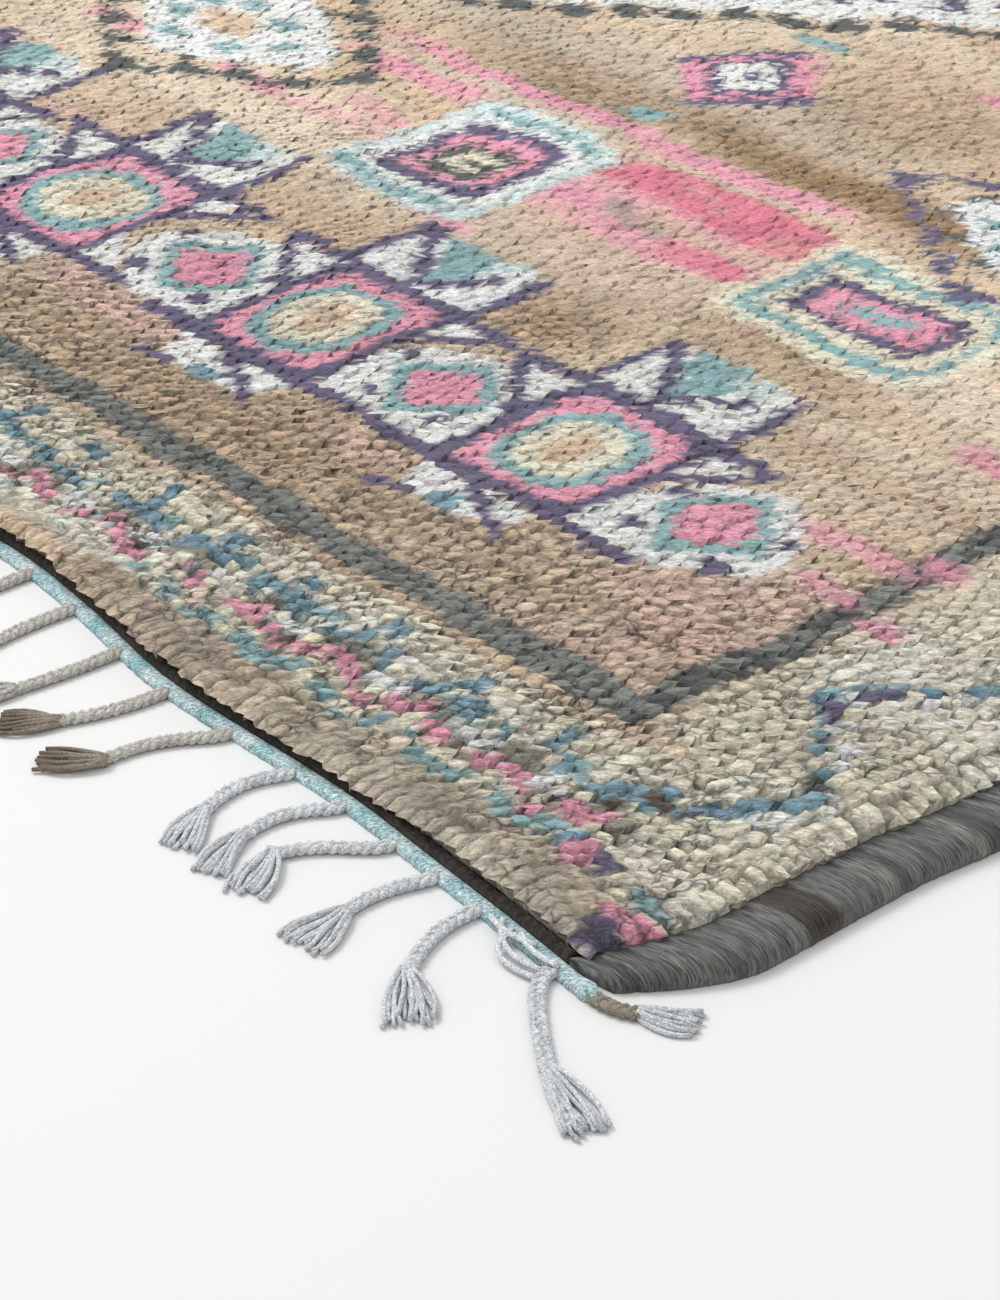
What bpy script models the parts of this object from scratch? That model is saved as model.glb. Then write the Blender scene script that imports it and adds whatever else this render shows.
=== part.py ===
"""A hand-knotted wool rug with a deep pile, lying flat.

The pile slab is the rug itself. A wrapped selvedge runs along each long side. At each end a dark
twined band lies against the pile, and outside it a flat woven strip carries the braided fringe.
X runs across the rug, Y along it and Z up, in metres. The origin is at the middle of the underside.
"""

import random

import bmesh
import bpy
from mathutils import Vector, noise

# Overall sizes, between the two selvedges' outer edges and between the two end strips' outer edges.
WIDTH = 1.62
LENGTH = 2.50
GAP = 0.0003
END_GAP = 0.0006

# The pile slab, laid out in cells, and the locks that hang out over its rim.
PILE_TOP = 0.0218
PILE_LUMP = 0.0060
LUMPS_PER_METRE = 15.0
RIM_TOP = 0.0200
LEDGE = 0.0138
CELLS_ACROSS = 36
CELLS_ALONG = 62
CORNER_ROWS = (0.0, 0.012, 0.026, 0.044, 0.068)
LOCK_OUT_SIDE = 0.0065
LOCK_OUT_END = 0.0050
LOCK_OUT_SPREAD = 0.0020
LOCK_LEAN = 0.005
LOCK_STEPS = [
    # reach, size
    (0.55, 0.90),
    (1.00, 0.52),
]

# The wrapped selvedge, as shares of its width from the outer edge inwards, and heights.
SELVEDGE_WIDTH = 0.038
SELVEDGE_END_WIDTH = 0.027
SELVEDGE_SECTION = [
    # inward, height
    (0.08, 0.0),
    (0.00, 0.0050),
    (0.09, 0.0102),
    (0.30, 0.0130),
    (0.62, 0.0122),
    (1.00, 0.0100),
    (1.00, 0.0),
]
SELVEDGE_RIPPLE = 0.0026
SELVEDGE_SWELL = 0.06
RIPPLES_PER_METRE = 9.0

# Each corner of the rug is drawn in over this length and by this depth.
CORNER_LENGTH = 0.072
CORNER_DEPTH = 0.041
CORNER_POWER = 1.6

# The dark twined band and the flat woven strip at each end.
BAND_WIDTH = 0.006
BAND_SECTION = [
    # outward, height
    (0.0, 0.0),
    (0.0, 0.0055),
    (0.3, 0.0075),
    (0.7, 0.0075),
    (1.0, 0.0055),
    (1.0, 0.0),
]
BAND_STATIONS = 42
STRIP_WIDTH = 0.0095
STRIP_THICKNESS = 0.0045
STRIP_END = 0.772
STRIP_END_RISE = 0.004
STRIP_END_RUN = 0.016

# The braids. Rings alternate between full and waist width, so the plait shows as ridges.
ROOT_WIDTH = 0.0084
BRAID_WIDTH = 0.0094
BRAID_WAIST = 0.78
BRAID_HEIGHT = 0.0064
BRAID_RINGS = 5
TOP_SHARE = 0.66
TASSEL_NECK = 0.62
TASSEL_HEIGHT = 0.0052
TASSEL_TIP_HEIGHT = 0.0034
TASSEL_FLARE = 0.55
TASSEL_FLARE_WIDTH = 0.9
STRAIGHT_START = 0.35
BEND_PULL = 0.25

# How far each edge stands out past the plain rectangle, at places along it.
FRONT_SWAY = [
    # across, out
    (-0.800, 0.012),
    (-0.620, 0.004),
    (-0.420, -0.005),
    (-0.180, 0.004),
    (0.050, -0.009),
    (0.218, -0.019),
    (0.300, -0.013),
    (0.401, 0.001),
    (0.551, 0.000),
    (0.633, 0.006),
    (0.707, 0.012),
    (0.800, 0.022),
]
BACK_SWAY = [
    # across, out
    (-0.800, 0.010),
    (-0.500, -0.006),
    (-0.150, 0.006),
    (0.200, -0.004),
    (0.520, 0.007),
    (0.800, -0.002),
]
RIGHT_SWAY = [
    # along, out
    (-1.300, -0.001),
    (-1.090, -0.002),
    (-1.030, 0.004),
    (-0.700, 0.002),
    (-0.350, -0.005),
    (0.050, 0.004),
    (0.450, -0.003),
    (0.850, 0.005),
    (1.300, -0.003),
]
LEFT_SWAY = [
    # along, out
    (-1.300, 0.004),
    (-0.900, -0.004),
    (-0.450, 0.005),
    (0.000, -0.004),
    (0.500, 0.004),
    (0.950, -0.005),
    (1.300, 0.002),
]

# The braids of the photographed corner. A path leaves the strip at root, bends, and ends at the
# tip, from where the tassel goes on to its own end. Each place is across, and out past the end.
# The first one leaves the end of the strip and the others its outer edge.
CORNER_BRAIDS = [
    # root, bend, bend_out, tip, tip_out, tassel, tassel_out, tassel_width
    (0.774, 0.787, 0.0130, 0.797, 0.005, 0.818, -0.009, 0.018),
    (0.741, 0.770, 0.046, 0.800, 0.068, 0.846, 0.083, 0.020),
    (0.678, 0.677, 0.037, 0.697, 0.068, 0.727, 0.090, 0.024),
    (0.642, 0.631, 0.031, 0.637, 0.060, 0.642, 0.090, 0.026),
    (0.605, 0.579, 0.027, 0.572, 0.054, 0.589, 0.083, 0.020),
    (0.560, 0.541, 0.021, 0.549, 0.056, 0.562, 0.084, 0.018),
    (0.517, 0.503, 0.022, 0.518, 0.057, 0.533, 0.083, 0.020),
    (0.464, 0.442, 0.026, 0.441, 0.066, 0.415, 0.088, 0.020),
    (0.407, 0.404, 0.034, 0.391, 0.062, 0.371, 0.082, 0.020),
    (0.355, 0.354, 0.030, 0.349, 0.062, 0.337, 0.088, 0.018),
    (0.298, 0.296, 0.020, 0.301, 0.050, 0.294, 0.078, 0.018),
]

# The rest of each fringe has an even pitch, with small seeded shifts.
FRINGE_PITCH = 0.0495
FRINGE_FIRST_FRONT = 0.249
PLAIN_BRAIDS_FRONT = 21
PLAIN_BRAIDS_BACK = 31
FRINGE_SHIFT = 0.004
FRINGE_LEAN = 0.009
FRINGE_FOLLOW = 0.5
BEND_SHARE = (-0.2, 0.8)
FRINGE_REACH = 0.062
FRINGE_REACH_SPREAD = 0.006
TASSEL_REACH = 0.026
TASSEL_WIDTH = 0.018
FRONT_SEED = 7
BACK_SEED = 11
LOCK_SEED = 4

WOOL = (0.62, 0.50, 0.38)
SELVEDGE_GREY = (0.20, 0.20, 0.18)
BAND_BROWN = (0.045, 0.036, 0.028)
STRIP_TEAL = (0.36, 0.52, 0.52)
FABRIC_ROUGHNESS = 0.92
SAME_POINT = 1e-6


def clear_scene():
    """Start from an empty file."""
    for thing in list(bpy.data.objects):
        bpy.data.objects.remove(thing, do_unlink=True)


def smooth_row(rows, at):
    """Read a two-column table at a place, on a smooth curve through its rows."""
    i = 0
    while i < len(rows) - 2 and at > rows[i + 1][0]:
        i += 1
    before, here = rows[max(i - 1, 0)], rows[i]
    there, after = rows[i + 1], rows[min(i + 2, len(rows) - 1)]
    span = there[0] - here[0]
    t = min(max((at - here[0]) / span, 0.0), 1.0)
    slope_here = (there[1] - before[1]) / (there[0] - before[0]) * span
    slope_there = (after[1] - here[1]) / (after[0] - here[0]) * span
    square, cube = t * t, t * t * t
    return (
        (2 * cube - 3 * square + 1) * here[1]
        + (cube - 2 * square + t) * slope_here
        + (3 * square - 2 * cube) * there[1]
        + (cube - square) * slope_there
    )


def end_edge(x, end):
    """Y of an end strip's outer edge. The front end is -1 and the back end is 1."""
    rows = FRONT_SWAY if end < 0 else BACK_SWAY
    return end * (LENGTH / 2 + smooth_row(rows, x))


def corner_share(y, side):
    """How far into a drawn-in corner a place along the side is, from 0 to 1 at the very end."""
    end = -1 if y < 0 else 1
    left = abs(end_edge(side * STRIP_END, end)) - STRIP_WIDTH - abs(y)
    return min(max(1 - left / CORNER_LENGTH, 0.0), 1.0) ** CORNER_POWER


def side_edge(y, side):
    """X of a selvedge's outer edge. The left side is -1 and the right side is 1."""
    rows = RIGHT_SWAY if side > 0 else LEFT_SWAY
    return side * (WIDTH / 2 + smooth_row(rows, y) - CORNER_DEPTH * corner_share(y, side))


def selvedge_width(y, side):
    """The selvedge narrows a little into the corner."""
    return SELVEDGE_WIDTH + (SELVEDGE_END_WIDTH - SELVEDGE_WIDTH) * corner_share(y, side)


def selvedge_start(side, end):
    """Y where a selvedge meets the inner edge of an end strip."""
    outer = WIDTH / 2 - CORNER_DEPTH
    reach = min(abs(end_edge(side * x, end)) for x in (outer - SELVEDGE_END_WIDTH, outer, STRIP_END))
    return end * (reach - STRIP_WIDTH - END_GAP)


def pile_end(x, end):
    """Y of the pile slab's edge, inside the strip and the dark band."""
    return end_edge(x, end) - end * (STRIP_WIDTH + BAND_WIDTH + 2 * END_GAP)


def pile_side(y, side):
    """X of the pile slab's edge, inside the selvedge."""
    return side_edge(y, side) - side * (selvedge_width(y, side) + GAP)


def place_on_pile(across, along):
    """The point at two shares, each from 0 to 1, of the way across and along the pile."""
    y = (along - 0.5) * LENGTH
    for _ in range(3):
        x = pile_side(y, -1) * (1 - across) + pile_side(y, 1) * across
        y = pile_end(x, -1) * (1 - along) + pile_end(x, 1) * along
    return x, y


def along_shares():
    """Where the rows of cells lie along the rug: close together at both ends, then even."""
    near = [row / LENGTH for row in CORNER_ROWS]
    steps = CELLS_ALONG - 2 * (len(near) - 1)
    middle = [near[-1] + (1 - 2 * near[-1]) * i / steps for i in range(1, steps)]
    return near + middle + [1 - share for share in reversed(near)]


def fabric(name, colour):
    """A rough, dyed fibre."""
    material = bpy.data.materials.new(name)
    material.use_nodes = True
    shader = material.node_tree.nodes["Principled BSDF"]
    shader.inputs["Base Color"].default_value = (*colour, 1.0)
    shader.inputs["Roughness"].default_value = FABRIC_ROUGHNESS
    shader.inputs["Metallic"].default_value = 0.0
    return material


def add_object(name, mesh, material):
    """Turn a closed bmesh into an object with one material."""
    bmesh.ops.recalc_face_normals(mesh, faces=mesh.faces)
    data = bpy.data.meshes.new(name)
    mesh.to_mesh(data)
    mesh.free()
    data.materials.append(material)
    thing = bpy.data.objects.new(name, data)
    bpy.context.scene.collection.objects.link(thing)
    return thing


def open_edges(mesh):
    """The edges that have only one face."""
    return [edge for edge in mesh.edges if edge.is_boundary]


def drop_rim(mesh, height):
    """Extrude the open rim down to a height and give the new wall's faces."""
    grown = bmesh.ops.extrude_edge_only(mesh, edges=open_edges(mesh))["geom"]
    for item in grown:
        if isinstance(item, bmesh.types.BMVert):
            item.co.z = height
    return [item for item in grown if isinstance(item, bmesh.types.BMFace)]


def grow(mesh, face, ring):
    """Extrude one face onto a ring of points, given in the order of its corners."""
    face = bmesh.ops.extrude_discrete_faces(mesh, faces=[face])["faces"][0]
    for vert, point in zip(face.verts, ring):
        vert.co = point
    return face


def comb_locks(mesh, rim_faces, rng):
    """Pull each upper rim face out into a rounded lock."""
    for rim in rim_faces:
        middle = rim.calc_center_median()
        base = [vert.co - middle for vert in rim.verts]
        outward = Vector((rim.normal.x, rim.normal.y, 0.0)).normalized()
        sideways = Vector((-outward.y, outward.x, 0.0))
        out = LOCK_OUT_SIDE if abs(outward.x) > abs(outward.y) else LOCK_OUT_END
        move = outward * (out + rng.uniform(-LOCK_OUT_SPREAD, LOCK_OUT_SPREAD))
        move += sideways * rng.uniform(-LOCK_LEAN, LOCK_LEAN)
        face = rim
        for reach, size in LOCK_STEPS:
            face = grow(mesh, face, [middle + corner * size + move * reach for corner in base])


def pile_body(material):
    """The knotted pile: a lumpy slab, flat underneath, with locks over its rim."""
    mesh = bmesh.new()
    bmesh.ops.create_grid(mesh, x_segments=CELLS_ACROSS, y_segments=CELLS_ALONG, size=0.5)
    rim = {vert for edge in open_edges(mesh) for vert in edge.verts}
    shares = along_shares()
    for vert in mesh.verts:
        row = round((vert.co.y + 0.5) * CELLS_ALONG)
        x, y = place_on_pile(vert.co.x + 0.5, shares[row])
        lump = noise.noise(Vector((x * LUMPS_PER_METRE, y * LUMPS_PER_METRE, 0.5)))
        vert.co = (x, y, (RIM_TOP if vert in rim else PILE_TOP) + PILE_LUMP * lump)
    rim_faces = drop_rim(mesh, LEDGE)
    drop_rim(mesh, 0.0)
    bmesh.ops.contextual_create(mesh, geom=open_edges(mesh))
    bmesh.ops.recalc_face_normals(mesh, faces=mesh.faces)
    comb_locks(mesh, rim_faces, random.Random(LOCK_SEED))
    return add_object("pile_body", mesh, material)


def sweep(rings):
    """Carry a face through rings of points, as one closed solid."""
    mesh = bmesh.new()
    face = mesh.faces.new([mesh.verts.new(point) for point in rings[0]])
    for ring in rings[1:]:
        face = grow(mesh, face, ring)
    bmesh.ops.contextual_create(mesh, geom=open_edges(mesh))
    return mesh


def selvedge(name, side, material):
    """The overcast edge: a rounded outer roll and a flatter inner part, drawn in at its ends."""
    edge = 1 if side > 0 else 0
    places = [place_on_pile(edge, share)[1] for share in along_shares()]
    places = [selvedge_start(side, -1)] + places + [selvedge_start(side, 1)]
    rings = []
    for y in places:
        outer, width = side_edge(y, side), selvedge_width(y, side)
        ripple = noise.noise(Vector((side, y * RIPPLES_PER_METRE, 0.0)))
        swell = SELVEDGE_RIPPLE * ripple
        taller = 1 + SELVEDGE_SWELL * ripple
        rings.append([
            (outer - side * (width * inward - swell * (inward == 0.0)), y, height * taller)
            for inward, height in SELVEDGE_SECTION
        ])
    return add_object(name, sweep(rings), material)


def dark_band(name, end, material):
    """The twined band that closes the pile at one end."""
    left, right = (pile_side(selvedge_start(side, end), side) for side in (-1, 1))
    rings = []
    for i in range(BAND_STATIONS + 1):
        x = left + (right - left) * i / BAND_STATIONS
        inner = end_edge(x, end) - end * (STRIP_WIDTH + END_GAP + BAND_WIDTH)
        rings.append([(x, inner + end * BAND_WIDTH * outward, height) for outward, height in BAND_SECTION])
    return add_object(name, sweep(rings), material)


def plain_braids(first, count, seed, end):
    """Rows like those of CORNER_BRAIDS for an even run of braids, leftwards from the first."""
    rng = random.Random(seed)
    rows = []
    lean = 0.0
    for i in range(count):
        root = first - FRINGE_PITCH * i + rng.uniform(-FRINGE_SHIFT, FRINGE_SHIFT)
        sway = abs(end_edge(root, end)) - LENGTH / 2
        lean = FRINGE_FOLLOW * lean + rng.uniform(-FRINGE_LEAN, FRINGE_LEAN)
        reach = FRINGE_REACH + rng.uniform(-FRINGE_REACH_SPREAD, FRINGE_REACH_SPREAD)
        bend = root + lean * rng.uniform(*BEND_SHARE)
        tip, tip_out = root + lean, sway + reach
        rows.append((root, bend, sway + reach / 2, tip, tip_out, tip, tip_out + TASSEL_REACH, TASSEL_WIDTH))
    return rows


def strip_mesh(end, roots):
    """The flat woven strip, cut across at both edges of every braid's root."""
    cuts = [root + half for root in roots for half in (-ROOT_WIDTH / 2, ROOT_WIDTH / 2)]
    cuts += [-STRIP_END, -STRIP_END + STRIP_END_RUN, STRIP_END - STRIP_END_RUN, STRIP_END]
    cuts.sort()
    mesh = bmesh.new()
    bmesh.ops.create_grid(mesh, x_segments=len(cuts) - 1, y_segments=1, size=0.5)
    for vert in mesh.verts:
        x = cuts[round((vert.co.x + 0.5) * (len(cuts) - 1))]
        inner = STRIP_WIDTH if vert.co.y * end < 0 else 0.0
        vert.co = (x, end_edge(x, end) - end * inner, 0.0)
    grown = bmesh.ops.extrude_face_region(mesh, geom=mesh.faces[:], use_keep_orig=True)["geom"]
    for item in grown:
        if isinstance(item, bmesh.types.BMVert):
            rise = STRIP_END_RISE if abs(abs(item.co.x) - STRIP_END) < SAME_POINT else 0.0
            item.co.z = STRIP_THICKNESS + rise
    return mesh


def bezier(points, t):
    """A point on the cubic curve of four control points."""
    a, b, c, d = points
    u = 1 - t
    return a * u**3 + b * 3 * u * u * t + c * 3 * u * t * t + d * t**3


def braid_stops(row, end, start, way):
    """Middle, width and height of each ring of a braid and its tassel, along its path."""
    _, bend, bend_out, tip, tip_out, tassel, tassel_out, width = row
    bend_at, tip_at, last = (
        Vector((across, end * (LENGTH / 2 + out), 0.0))
        for across, out in ((bend, bend_out), (tip, tip_out), (tassel, tassel_out))
    )
    first_pull = start + way * STRAIGHT_START * (bend_at - start).length
    last_pull = bend_at + (bend_at - (start + tip_at) / 2) * BEND_PULL
    stops = []
    for i in range(1, BRAID_RINGS):
        ridge = 1.0 if i % 2 else BRAID_WAIST
        middle = bezier((start, first_pull, last_pull, tip_at), i / BRAID_RINGS)
        stops.append((middle, BRAID_WIDTH * ridge, BRAID_HEIGHT))
    stops.append((tip_at, BRAID_WIDTH * TASSEL_NECK, BRAID_HEIGHT))
    stops.append((tip_at.lerp(last, TASSEL_FLARE), width * TASSEL_FLARE_WIDTH, TASSEL_HEIGHT))
    stops.append((last, width, TASSEL_TIP_HEIGHT))
    return stops


def add_braid(mesh, row, end):
    """Grow one braid and its tassel out of the strip's wall face nearest to its root."""
    across = min(row[0], STRIP_END)
    start = Vector((across, end_edge(across, end), 0.0))
    if row[0] > STRIP_END:
        start.y -= end * STRIP_WIDTH / 2
    walls = [face for face in mesh.faces if abs(face.normal.z) < 0.5]
    wall = min(walls, key=lambda face: (face.calc_center_median().xy - start.xy).length)
    way = wall.normal.xy.normalized().to_3d()
    stops = braid_stops(row, end, start, way)
    centre = wall.calc_center_median()
    left = Vector((-way.y, way.x, 0.0))
    corners = [(vert.co.z > centre.z, 1 if (vert.co - centre).dot(left) > 0 else -1) for vert in wall.verts]
    before = start
    for i, (middle, wide, high) in enumerate(stops):
        heading = (stops[min(i + 1, len(stops) - 1)][0] - before).normalized()
        left = Vector((-heading.y, heading.x, 0.0))
        ring = [
            middle + left * hand * wide / 2 * (TOP_SHARE if upper else 1.0) + Vector((0.0, 0.0, high * upper))
            for upper, hand in corners
        ]
        wall = grow(mesh, wall, ring)
        before = middle


def fringe(name, end, rows, material):
    """The woven strip of one end with all its braids, as one piece."""
    mesh = strip_mesh(end, [row[0] for row in rows if row[0] < STRIP_END])
    bmesh.ops.recalc_face_normals(mesh, faces=mesh.faces)
    for row in rows:
        add_braid(mesh, row, end)
    return add_object(name, mesh, material)


def main():
    """Model the rug."""
    clear_scene()
    wool = fabric("wool_pile", WOOL)
    grey = fabric("selvedge_wrap", SELVEDGE_GREY)
    brown = fabric("twined_band", BAND_BROWN)
    teal = fabric("woven_strip", STRIP_TEAL)
    pile_body(wool)
    selvedge("selvedge_right", 1, grey)
    selvedge("selvedge_left", -1, grey)
    dark_band("dark_band_front", -1, brown)
    dark_band("dark_band_back", 1, brown)
    front = CORNER_BRAIDS + plain_braids(FRINGE_FIRST_FRONT, PLAIN_BRAIDS_FRONT, FRONT_SEED, -1)
    fringe("fringe_front", -1, front, teal)
    back = plain_braids(FRINGE_PITCH * (PLAIN_BRAIDS_BACK - 1) / 2, PLAIN_BRAIDS_BACK, BACK_SEED, 1)
    fringe("fringe_back", 1, back, teal)


main()
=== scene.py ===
# %% [markdown]
# # A deep-pile rug, dressed knot by knot
# The rug is hand knotted in wool: thousands of soft tufts stand on a ground cloth, a wrapped cord
# runs along each side, and each end has a dark twined band, a teal woven strip and a braided fringe.
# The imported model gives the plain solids. This lesson lays the real surfaces over them, in metres.
# X runs across the rug, Y along it and Z up, and the floor is at zero.

# %% Load the frame
import random
from math import cos, pi, radians, sin

import bmesh
import bpy
import numpy as np
from mathutils import Matrix, Vector, noise


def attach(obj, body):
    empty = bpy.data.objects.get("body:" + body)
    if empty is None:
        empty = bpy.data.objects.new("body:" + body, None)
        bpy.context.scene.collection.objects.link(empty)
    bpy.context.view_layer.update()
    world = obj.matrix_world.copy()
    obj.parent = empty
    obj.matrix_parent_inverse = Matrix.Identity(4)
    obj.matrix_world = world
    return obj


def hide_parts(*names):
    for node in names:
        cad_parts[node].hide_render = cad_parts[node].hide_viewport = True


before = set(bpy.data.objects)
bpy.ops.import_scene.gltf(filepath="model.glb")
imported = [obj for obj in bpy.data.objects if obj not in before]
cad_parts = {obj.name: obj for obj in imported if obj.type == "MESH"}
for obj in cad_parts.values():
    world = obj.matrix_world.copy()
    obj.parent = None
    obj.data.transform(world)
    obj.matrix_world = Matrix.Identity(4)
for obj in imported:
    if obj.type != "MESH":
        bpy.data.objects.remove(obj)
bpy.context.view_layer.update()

# %% [markdown]
# ## The camera
# The picture looks down on one corner of the rug from standing height, through a long lens. The
# camera's place and its three turns were worked out from the straight edges and the evenly spaced
# squares. It could be aimed with a constraint, but a matrix made from three axes shows plainly
# which way the picture's right, up and forward go.

# %% Place the camera
PICTURE_HEIGHT = 1300
FOCAL_PIXELS = 3673.9
SENSOR = 36.0
CAMERA_PLACE = Vector((1.83036, -2.1745, 1.02))
TURN, DIP, ROLL = radians(50.9007), radians(30.6177), radians(-2.0783)

level = Vector((-sin(TURN), cos(TURN), 0.0))
right = Vector((cos(TURN), sin(TURN), 0.0))
forward = level * cos(DIP) - Vector((0.0, 0.0, sin(DIP)))
upward = level * sin(DIP) + Vector((0.0, 0.0, cos(DIP)))
picture_right = right * cos(ROLL) + upward * sin(ROLL)
picture_up = upward * cos(ROLL) - right * sin(ROLL)

lens = bpy.data.cameras.new("camera")
lens.sensor_width = SENSOR
lens.lens = SENSOR * FOCAL_PIXELS / PICTURE_HEIGHT
camera = bpy.data.objects.new("camera", lens)
camera.matrix_world = Matrix.Translation(CAMERA_PLACE) @ Matrix(
    (picture_right, picture_up, -forward)
).transposed().to_4x4()
bpy.context.scene.collection.objects.link(camera)
bpy.context.scene.camera = camera
print("lens of", round(lens.lens, 1), "mm at", [round(n, 2) for n in CAMERA_PLACE])

# %% [markdown]
# ## Floor and light
# The rug lies on a plain pale floor. A bright, even sky keeps the shadows soft, as in a studio, and
# one wide lamp from the upper left gives each tuft a lit side. A small lamp would draw hard
# shadows between the tufts, so the lamp is nearly as wide as the rug.

# %% Make the floor and the lights
FLOOR_SIZE = 9.0
FLOOR_GREY = (0.72, 0.72, 0.716)
FLOOR_ROUGHNESS = 0.9
SKY_STRENGTH = 0.89
LAMP_PLACE = Vector((-2.2, -1.6, 3.4))
LAMP_TARGET = Vector((0.3, -0.7, 0.0))
LAMP_SIZE = 1.8
LAMP_WATTS = 108.0


def add_object(name, mesh):
    """Turn a bmesh into an object at the origin."""
    data = bpy.data.meshes.new(name)
    mesh.to_mesh(data)
    mesh.free()
    data.polygons.foreach_set("use_smooth", [True] * len(data.polygons))
    thing = bpy.data.objects.new(name, data)
    bpy.context.scene.collection.objects.link(thing)
    return thing


def new_material(name):
    """A material with its node list, links and shader."""
    material = bpy.data.materials.new(name)
    material.use_nodes = True
    tree = material.node_tree
    return material, tree.nodes, tree.links, tree.nodes["Principled BSDF"]


floor_mesh = bmesh.new()
bmesh.ops.create_grid(floor_mesh, x_segments=1, y_segments=1, size=FLOOR_SIZE / 2)
floor = add_object("floor", floor_mesh)
floor_paint, _, _, shader = new_material("pale_floor")
shader.inputs["Base Color"].default_value = (*FLOOR_GREY, 1.0)
shader.inputs["Roughness"].default_value = FLOOR_ROUGHNESS
floor.data.materials.append(floor_paint)

sky = bpy.data.worlds.new("sky")
sky.use_nodes = True
sky.node_tree.nodes["Background"].inputs["Color"].default_value = (1.0, 1.0, 1.0, 1.0)
sky.node_tree.nodes["Background"].inputs["Strength"].default_value = SKY_STRENGTH
bpy.context.scene.world = sky
lamp = bpy.data.lights.new("lamp", "AREA")
lamp.size = LAMP_SIZE
lamp.energy = LAMP_WATTS
lamp_object = bpy.data.objects.new("lamp", lamp)
lamp_object.location = LAMP_PLACE
lamp_object.rotation_euler = (LAMP_TARGET - LAMP_PLACE).to_track_quat("-Z", "Y").to_euler()
bpy.context.scene.collection.objects.link(lamp_object)
bpy.context.scene.view_settings.view_transform = "Standard"
print("floor", FLOOR_SIZE, "m square, sky at", SKY_STRENGTH, "and one lamp of", LAMP_WATTS, "W")

# %% [markdown]
# ## The rug's outline
# A hand-woven rug is never a true rectangle: its ends and sides sway a little, and each corner is
# drawn in by the wrapping. The solids were made from short tables of how far each edge stands out,
# and the same tables are used here, so the dressed pieces lie exactly where the solids do.

# %% Repeat the outline of the solids
WIDTH = 1.62
LENGTH = 2.50
GAP = 0.0003
END_GAP = 0.0006
SELVEDGE_WIDTH = 0.038
SELVEDGE_END_WIDTH = 0.027
CORNER_LENGTH = 0.072
CORNER_DEPTH = 0.041
CORNER_POWER = 1.6
BAND_WIDTH = 0.006
STRIP_WIDTH = 0.0095
STRIP_END = 0.772
PLACE_ROUNDS = 3

FRONT_SWAY = [
    # across, out
    (-0.800, 0.012), (-0.620, 0.004), (-0.420, -0.005), (-0.180, 0.004), (0.050, -0.009), (0.218, -0.019),
    (0.300, -0.013), (0.401, 0.001), (0.551, 0.000), (0.633, 0.006), (0.707, 0.012), (0.800, 0.022),
]
BACK_SWAY = [
    # across, out
    (-0.800, 0.010), (-0.500, -0.006), (-0.150, 0.006), (0.200, -0.004), (0.520, 0.007), (0.800, -0.002),
]
RIGHT_SWAY = [
    # along, out
    (-1.300, -0.001), (-1.090, -0.002), (-1.030, 0.004), (-0.700, 0.002), (-0.350, -0.005),
    (0.050, 0.004), (0.450, -0.003), (0.850, 0.005), (1.300, -0.003),
]
LEFT_SWAY = [
    # along, out
    (-1.300, 0.004), (-0.900, -0.004), (-0.450, 0.005), (0.000, -0.004), (0.500, 0.004),
    (0.950, -0.005), (1.300, 0.002),
]


def mix(first, second, share):
    """From the first of two values to the second, by a share from 0 to 1."""
    return first * (1 - share) + second * share


def smooth_row(rows, at):
    """Read a two-column table at a place, on a smooth curve through its rows."""
    i = 0
    while i < len(rows) - 2 and at > rows[i + 1][0]:
        i += 1
    before, here = rows[max(i - 1, 0)], rows[i]
    there, after = rows[i + 1], rows[min(i + 2, len(rows) - 1)]
    span = there[0] - here[0]
    t = min(max((at - here[0]) / span, 0.0), 1.0)
    slope_here = (there[1] - before[1]) / (there[0] - before[0]) * span
    slope_there = (after[1] - here[1]) / (after[0] - here[0]) * span
    square, cube = t * t, t * t * t
    return (
        (2 * cube - 3 * square + 1) * here[1]
        + (cube - 2 * square + t) * slope_here
        + (3 * square - 2 * cube) * there[1]
        + (cube - square) * slope_there
    )


def end_edge(x, end):
    """Y of an end strip's outer edge. The front end is -1 and the back end is 1."""
    rows = FRONT_SWAY if end < 0 else BACK_SWAY
    return end * (LENGTH / 2 + smooth_row(rows, x))


def corner_share(y, side):
    """How far into a drawn-in corner a place along the side is, from 0 to 1 at the very end."""
    end = -1 if y < 0 else 1
    left = abs(end_edge(side * STRIP_END, end)) - STRIP_WIDTH - abs(y)
    return min(max(1 - left / CORNER_LENGTH, 0.0), 1.0) ** CORNER_POWER


def side_edge(y, side):
    """X of a selvedge's outer edge. The left side is -1 and the right side is 1."""
    rows = RIGHT_SWAY if side > 0 else LEFT_SWAY
    return side * (WIDTH / 2 + smooth_row(rows, y) - CORNER_DEPTH * corner_share(y, side))


def selvedge_width(y, side):
    """The selvedge narrows a little into the corner."""
    return SELVEDGE_WIDTH + (SELVEDGE_END_WIDTH - SELVEDGE_WIDTH) * corner_share(y, side)


def selvedge_start(side, end):
    """Y where a selvedge meets the inner edge of an end strip."""
    outer = WIDTH / 2 - CORNER_DEPTH
    reach = min(abs(end_edge(side * x, end)) for x in (outer - SELVEDGE_END_WIDTH, outer, STRIP_END))
    return end * (reach - STRIP_WIDTH - END_GAP)


def pile_end(x, end):
    """Y of the pile's edge, inside the strip and the dark band."""
    return end_edge(x, end) - end * (STRIP_WIDTH + BAND_WIDTH + 2 * END_GAP)


def pile_side(y, side):
    """X of the pile's edge, inside the selvedge."""
    return side_edge(y, side) - side * (selvedge_width(y, side) + GAP)


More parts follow.
